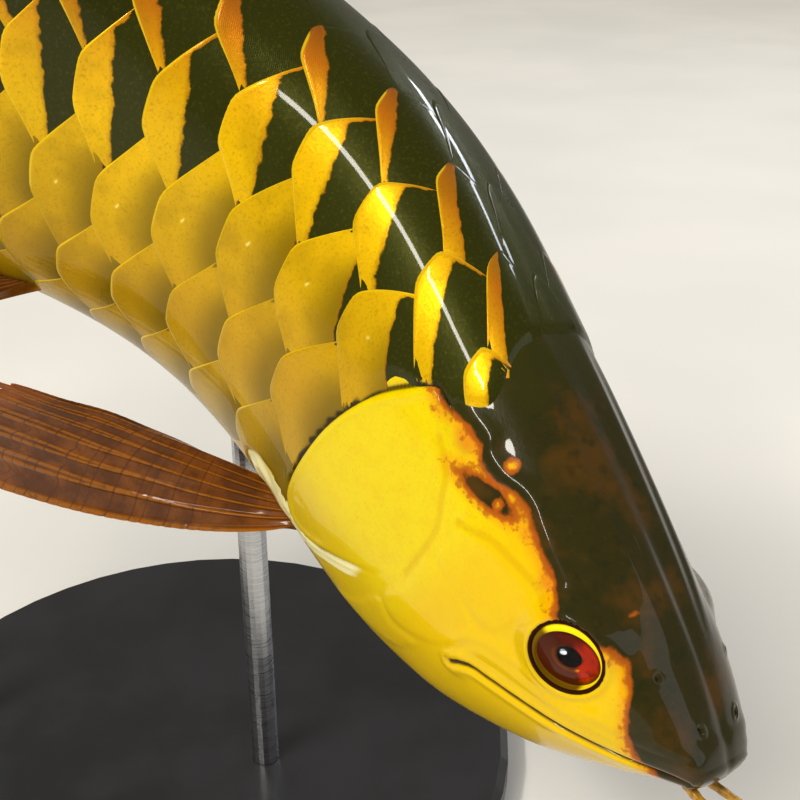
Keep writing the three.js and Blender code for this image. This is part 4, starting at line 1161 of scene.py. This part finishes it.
# rootFrom, rootTo: s and u of the root's ends; directions and curls: backward, outward and down;
# fan, shorten: how fast direction and length change from the first ray
pairedShared = finShared | {
    "fork": 0.15, "twig": 0.067, "notch": 0.06, "ripple": 0.45, "fan": 0.8, "shorten": 0.7}
pairedFins = {
    "pectoral": pairedShared | {
        "rootFrom": (119, 0.06), "rootTo": (139, 0.045), "sunk": 6, "rays": 7, "steps": 150, "cells": 26,
        "lengths": (142, 75), "first": (0.45, 0.45, 0.76), "last": (0.78, 0.6, 0.1),
        "curls": ((0.22, 0, -0.13), (0, 0.18, 0.14)), "root": 4.6, "tip": 0.8, "web": (2.2, 0.4),
        "joints": 34},
    "pelvic": pairedShared | {
        "rootFrom": (262, 0.09), "rootTo": (274, 0.045), "sunk": 5, "rays": 6, "steps": 100, "cells": 24,
        "lengths": (86, 40), "first": (0.72, 0.42, 0.55), "last": (0.93, 0.2, 0.3),
        "curls": ((0.12, -0.06, 0), (0.12, -0.06, 0)), "root": 3.4, "tip": 0.7, "web": (1.8, 0.4),
        "joints": 24},
}


def pairedFin(name, fin, side, word, material):
    def place(a, b):
        s, u = (fin["rootFrom"][k] + (fin["rootTo"][k] - fin["rootFrom"][k]) * a for k in (0, 1))
        start = sectionAt(s, u)
        share = (a ** fin["fan"])[:, None]
        direction = np.array(fin["first"]) * (1 - share) + np.array(fin["last"]) * share
        direction /= np.linalg.norm(direction, axis=1)[:, None]
        curl = np.array(fin["curls"][0]) * (1 - a[:, None]) + np.array(fin["curls"][1]) * a[:, None]
        first, last = fin["lengths"]
        length = first + (last - first) * a ** fin["shorten"]
        out = b * (length + fin["sunk"]) - fin["sunk"]
        reach = direction * out[:, None] + curl * (length * b * b)[:, None]
        _, forward, left, up = spineAt(s)
        at = bent(s, side * start[:, 0], start[:, 1])
        return at - forward * reach[:, :1] + left * side * reach[:, 1:2] - up * reach[:, 2:]

    finPiece(f"{name}_membrane_{word}", place, fin, material, f"{name}_fin_{word}")


# A ring of points round the eye; axes are outward, up and across
def eyeRing(centre, axes, radius, height):
    out, up, across = axes
    turns = np.linspace(0, 2 * math.pi, eye["around"], endpoint=False)[:, None]
    return centre + out * height + radius * (np.cos(turns) * across + np.sin(turns) * up)


# The iris and pupil look along the gaze, in a ring of skin that fills the orbit
def makeEyeball(word, side, tissue):
    centre, *rimAxes = eyeAxes(side, eye["facing"])
    gazeAxes = eyeAxes(side, eye["gaze"])[1:]
    gazeOut, gazeUp, gazeAcross = gazeAxes
    ahead = gazeAcross if gazeAcross[0] > 0 else -gazeAcross
    flat, edge, pupil = eye["irisHeight"], eye["irisRadius"], eye["pupilRadius"]
    outerFrom, outerStep = eye["outerRings"]
    innerRadii = np.linspace(eye["least"], *eye["innerRings"])
    radii = [*innerRadii, *np.arange(outerFrom, edge + 0.01, outerStep)]
    rings = []
    for radius in radii:
        dish = eye["irisDish"] * (1 - smoothStep(radius, pupil, edge)) + eye["pupilDish"] * (radius < pupil)
        rings.append(eyeRing(centre, gazeAxes, radius, flat - dish))
    inner = eyeRing(centre, gazeAxes, edge + eye["ringStep"], flat + eye["ringStep"])
    outer = eyeRing(centre, rimAxes, eye["ringRadius"], eye["ringHeight"])
    for t in np.linspace(0, 1, eye["ringRings"]):
        swell = rimAxes[0] * (eye["ringSwell"] * math.sin(math.pi * t))
        rings.append(inner * (1 - t) + outer * t + swell)
        radii.append(eye["ringMark"] + t)
    bright = len(rings) - 1
    radius, height, thick = eye["lid"]
    for turn in np.radians(np.linspace(*eye["lidTurn"])):
        place = radius + thick * math.cos(turn), height + thick * math.sin(turn)
        rings.append(eyeRing(centre, rimAxes, *place))
    for place in eye["back"]:
        rings.append(eyeRing(centre, rimAxes, *place))
    radii += [eye["lidMark"]] * (len(rings) - len(radii))
    # the fold and the back of the eyeball are painted dark, as the shade in the orbit's groove
    dark = np.arange(len(rings)) >= bright
    points, radii = np.array(rings), np.repeat(radii, eye["around"])
    rel = (points - (centre + gazeOut * flat)).reshape(-1, 3)
    toward = np.stack([rel @ ahead, rel @ gazeUp], 1)
    toward /= np.linalg.norm(toward, axis=1)[:, None] + 1e-6
    arc = bump(radii - eye["arcRadius"], eye["arcWidth"]) * smoothStep(toward[:, 1], *eye["arcSpan"])
    # painted shade over the lower half of iris and ring
    paintedShade = smoothStep(toward[:, 1] + eye["paintedShadeLean"] * toward[:, 0], *eye["paintedShadeSpan"])
    values = {"mark": np.stack([radii, toward @ np.array(eye["redness"]), arc], 1),
              "tone": np.stack([paintedShade, np.repeat(dark, eye["around"]), np.zeros(len(radii))], 1)}
    faces = tubeFaces(len(rings), eye["around"])
    globe = makePiece(f"eyeball_{word}", points.reshape(-1, 3), faces, tissue, values, turn=side > 0)
    settle(globe, "eye", f"eye_{word}")


# A thin clear dome over the iris
def makeCornea(word, side, clear):
    centre, *gazeAxes = eyeAxes(side, eye["gaze"])
    radii = np.linspace(eye["least"], eye["irisRadius"] + eye["corneaPast"], eye["corneaRings"])
    film = []
    for inset in (0.0, eye["corneaThickness"]):
        drop = list(zip(radii, eye["apex"] - inset - radii**2 / (2 * eye["domeRadius"])))
        film += drop if inset == 0 else drop[::-1]
    points = np.array([eyeRing(centre, gazeAxes, radius, height) for radius, height in film])
    faces = tubeFaces(len(film), eye["around"])
    settle(makePiece(f"cornea_{word}", points.reshape(-1, 3), faces, clear, turn=side > 0), "eye")


barbels = {
    "route": [(2, 3.4, 25), (-3, 4.2, 26.5), (-11, 6, 30), (-20, 9, 32), (-27, 13, 30)],  # s, y, z
    "radius": 1.5, "taper": 0.72, "sides": 20, "steps": 12,
    "wrinkles": (0.04, 60),  # depth by the radius, and radians along it
}


def makeBarbels(material):
    for word, side in sides.items():
        route = [bent(float(s), side * y, float(z)) for s, y, z in barbels["route"]]
        line = smoothCurve(route, False, barbels["steps"])
        forward = np.gradient(line, axis=0)
        forward /= np.linalg.norm(forward, axis=1)[:, None]
        level = np.cross(forward, [0.0, 0.0, 1.0])
        level /= np.linalg.norm(level, axis=1)[:, None]
        upright = np.cross(forward, level)
        share = np.linspace(0, 1, len(line))
        depth, waves = barbels["wrinkles"]
        radius = barbels["radius"] * (1 - barbels["taper"] * share) * (1 + depth * np.sin(share * waves))
        angle = np.linspace(0, 2 * math.pi, barbels["sides"], endpoint=False)
        ring = np.cos(angle)[:, None] * level[:, None] + np.sin(angle)[:, None] * upright[:, None]
        points = (line[:, None] + ring * radius[:, None, None]).reshape(-1, 3)
        faces = tubeFaces(len(line), len(angle))
        piece = makePiece(f"barbel_skin_{word}", points, faces, material)
        settle(piece, "barbel_skin", f"barbel_{word}")


# Stage: pale floor, soft lights, and the photo's viewing angle
stage = {
    "cameraFromSnout": (-56.65, -222.2, 220.2),
    "elevation": 25.03,
    "focal": 1164.0,  # in pixels of the photo, which is 800 wide
    "imageWidth": 800.0,
    "sensor": 36.0, "clip": (0.01, 50),
    "floorReach": 6.0,
    "world": "#efebe0", "worldStrength": 0.3,
    # azimuth and height in degrees from the fish, distance, roll, power, colour
    "sky": (-132, 53, 3, 0, 2.15, "#fff8ea"), "skyAngle": 35,
    # the same, with the size before the power
    "softboxes": {
        "keySoftbox": (-133, 41, 2.4, -41, (1.15, 0.13), 26, "#fff9ee"),
        "ridgeSoftbox": (40, 34, 2.2, -20, (1.2, 0.08), 10, "#eef4ff"),
        "fillSoftbox": (-30, 16, 1.9, 0, (1.0, 1.2), 5, "#f2f4ff"),
        "eyeSoftbox": (-109, -28, 0.43, 0, (0.08, 0.055), 1.4, "#ffffff"),  # for the corneas alone
    },
    "target": (0.0, 0.0, 0.25),
}


def makeFloor():
    mesh = bpy.data.meshes.new("floor")
    reach = stage["floorReach"]
    corners = [(-reach, -reach, 0), (reach, -reach, 0), (reach, reach, 0), (-reach, reach, 0)]
    mesh.from_pydata(corners, [], [(0, 1, 2, 3)])
    floor = bpy.data.objects.new("floor", mesh)
    bpy.context.scene.collection.objects.link(floor)
    mesh.materials.append(paleFloor())


def addLamp(name, kind, azimuth, height, distance, roll, power, colour):
    light = bpy.data.lights.new(name, kind)
    light.energy = power
    light.color = linear(colour)[:3]
    lamp = bpy.data.objects.new(name, light)
    turned, raised = math.radians(azimuth), math.radians(height)
    level = math.cos(raised)
    away = Vector((math.cos(turned) * level, math.sin(turned) * level, math.sin(raised)))
    lamp.location = Vector(stage["target"]) + away * distance
    aimed = (-away).to_track_quat("-Z", "Y").to_matrix() @ Matrix.Rotation(math.radians(roll), 3, "Z")
    lamp.rotation_euler = aimed.to_euler()
    bpy.context.scene.collection.objects.link(lamp)
    return lamp


def makeStudio():
    makeFloor()
    for name, (azimuth, height, distance, roll, size, power, colour) in stage["softboxes"].items():
        light = addLamp(name, "AREA", azimuth, height, distance, roll, power, colour).data
        light.shape = "RECTANGLE"
        light.size, light.size_y = size
    sky = addLamp("sky", "SUN", *stage["sky"])
    sky.data.angle = math.radians(stage["skyAngle"])
    sky.visible_glossy = False  # the wet film mirrors the softboxes alone
    world = bpy.data.worlds.new("studio")
    world.use_nodes = True
    background = world.node_tree.nodes["Background"].inputs
    background["Color"].default_value = linear(stage["world"])
    background["Strength"].default_value = stage["worldStrength"]
    bpy.context.scene.world = world
    bpy.context.scene.view_settings.view_transform = "Standard"


def makeCamera():
    data = bpy.data.cameras.new("photoView")
    data.sensor_width = stage["sensor"]
    data.lens = stage["focal"] / stage["imageWidth"] * stage["sensor"]
    data.clip_start, data.clip_end = stage["clip"]
    camera = bpy.data.objects.new("photoView", data)
    snout = toWorld(np.zeros((1, 3)))[0]
    camera.location = Vector(snout) + Vector(stage["cameraFromSnout"]) * millimetre
    camera.rotation_euler = Euler((math.radians(90 - stage["elevation"]), 0, 0))
    bpy.context.scene.collection.objects.link(camera)
    bpy.context.scene.camera = camera


# The eye's own lamp lights nothing but the corneas
def linkEyeLamp():
    corneas = bpy.data.collections.new("corneas")
    for word in sides:
        corneas.objects.link(bpy.data.objects[f"cornea_{word}"])
    bpy.data.objects["eyeSoftbox"].light_linking.receiver_collection = corneas


def main():
    makeCamera()
    makeStudio()
    print("stage ready")
    makeSkin(wetHeadSkin())
    print("skin ready")
    makeScales(wetScale())
    fin = finMembrane()
    for name, sizes in medianFins.items():
        medianFin(name, sizes, fin)
    tailFin(tailFan, fin)
    for name, sizes in pairedFins.items():
        for word, side in sides.items():
            pairedFin(name, sizes, side, word, fin)
    print("fins ready")
    tissue, clear = irisTissue(), corneaFilm()
    for word, side in sides.items():
        makeEyeball(word, side, tissue)
        makeCornea(word, side, clear)
    makeBarbels(barbelSkin())
    linkEyeLamp()
    print("eyes and barbels ready")
    steel = brushedSteel()
    finishes = {"stand_base": standLacquer(), "stand_rod_front": steel, "stand_rod_rear": steel}
    for name, material in finishes.items():
        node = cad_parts[name]
        node.data.materials.clear()
        node.data.materials.append(material)
    print("stand finished")


main()
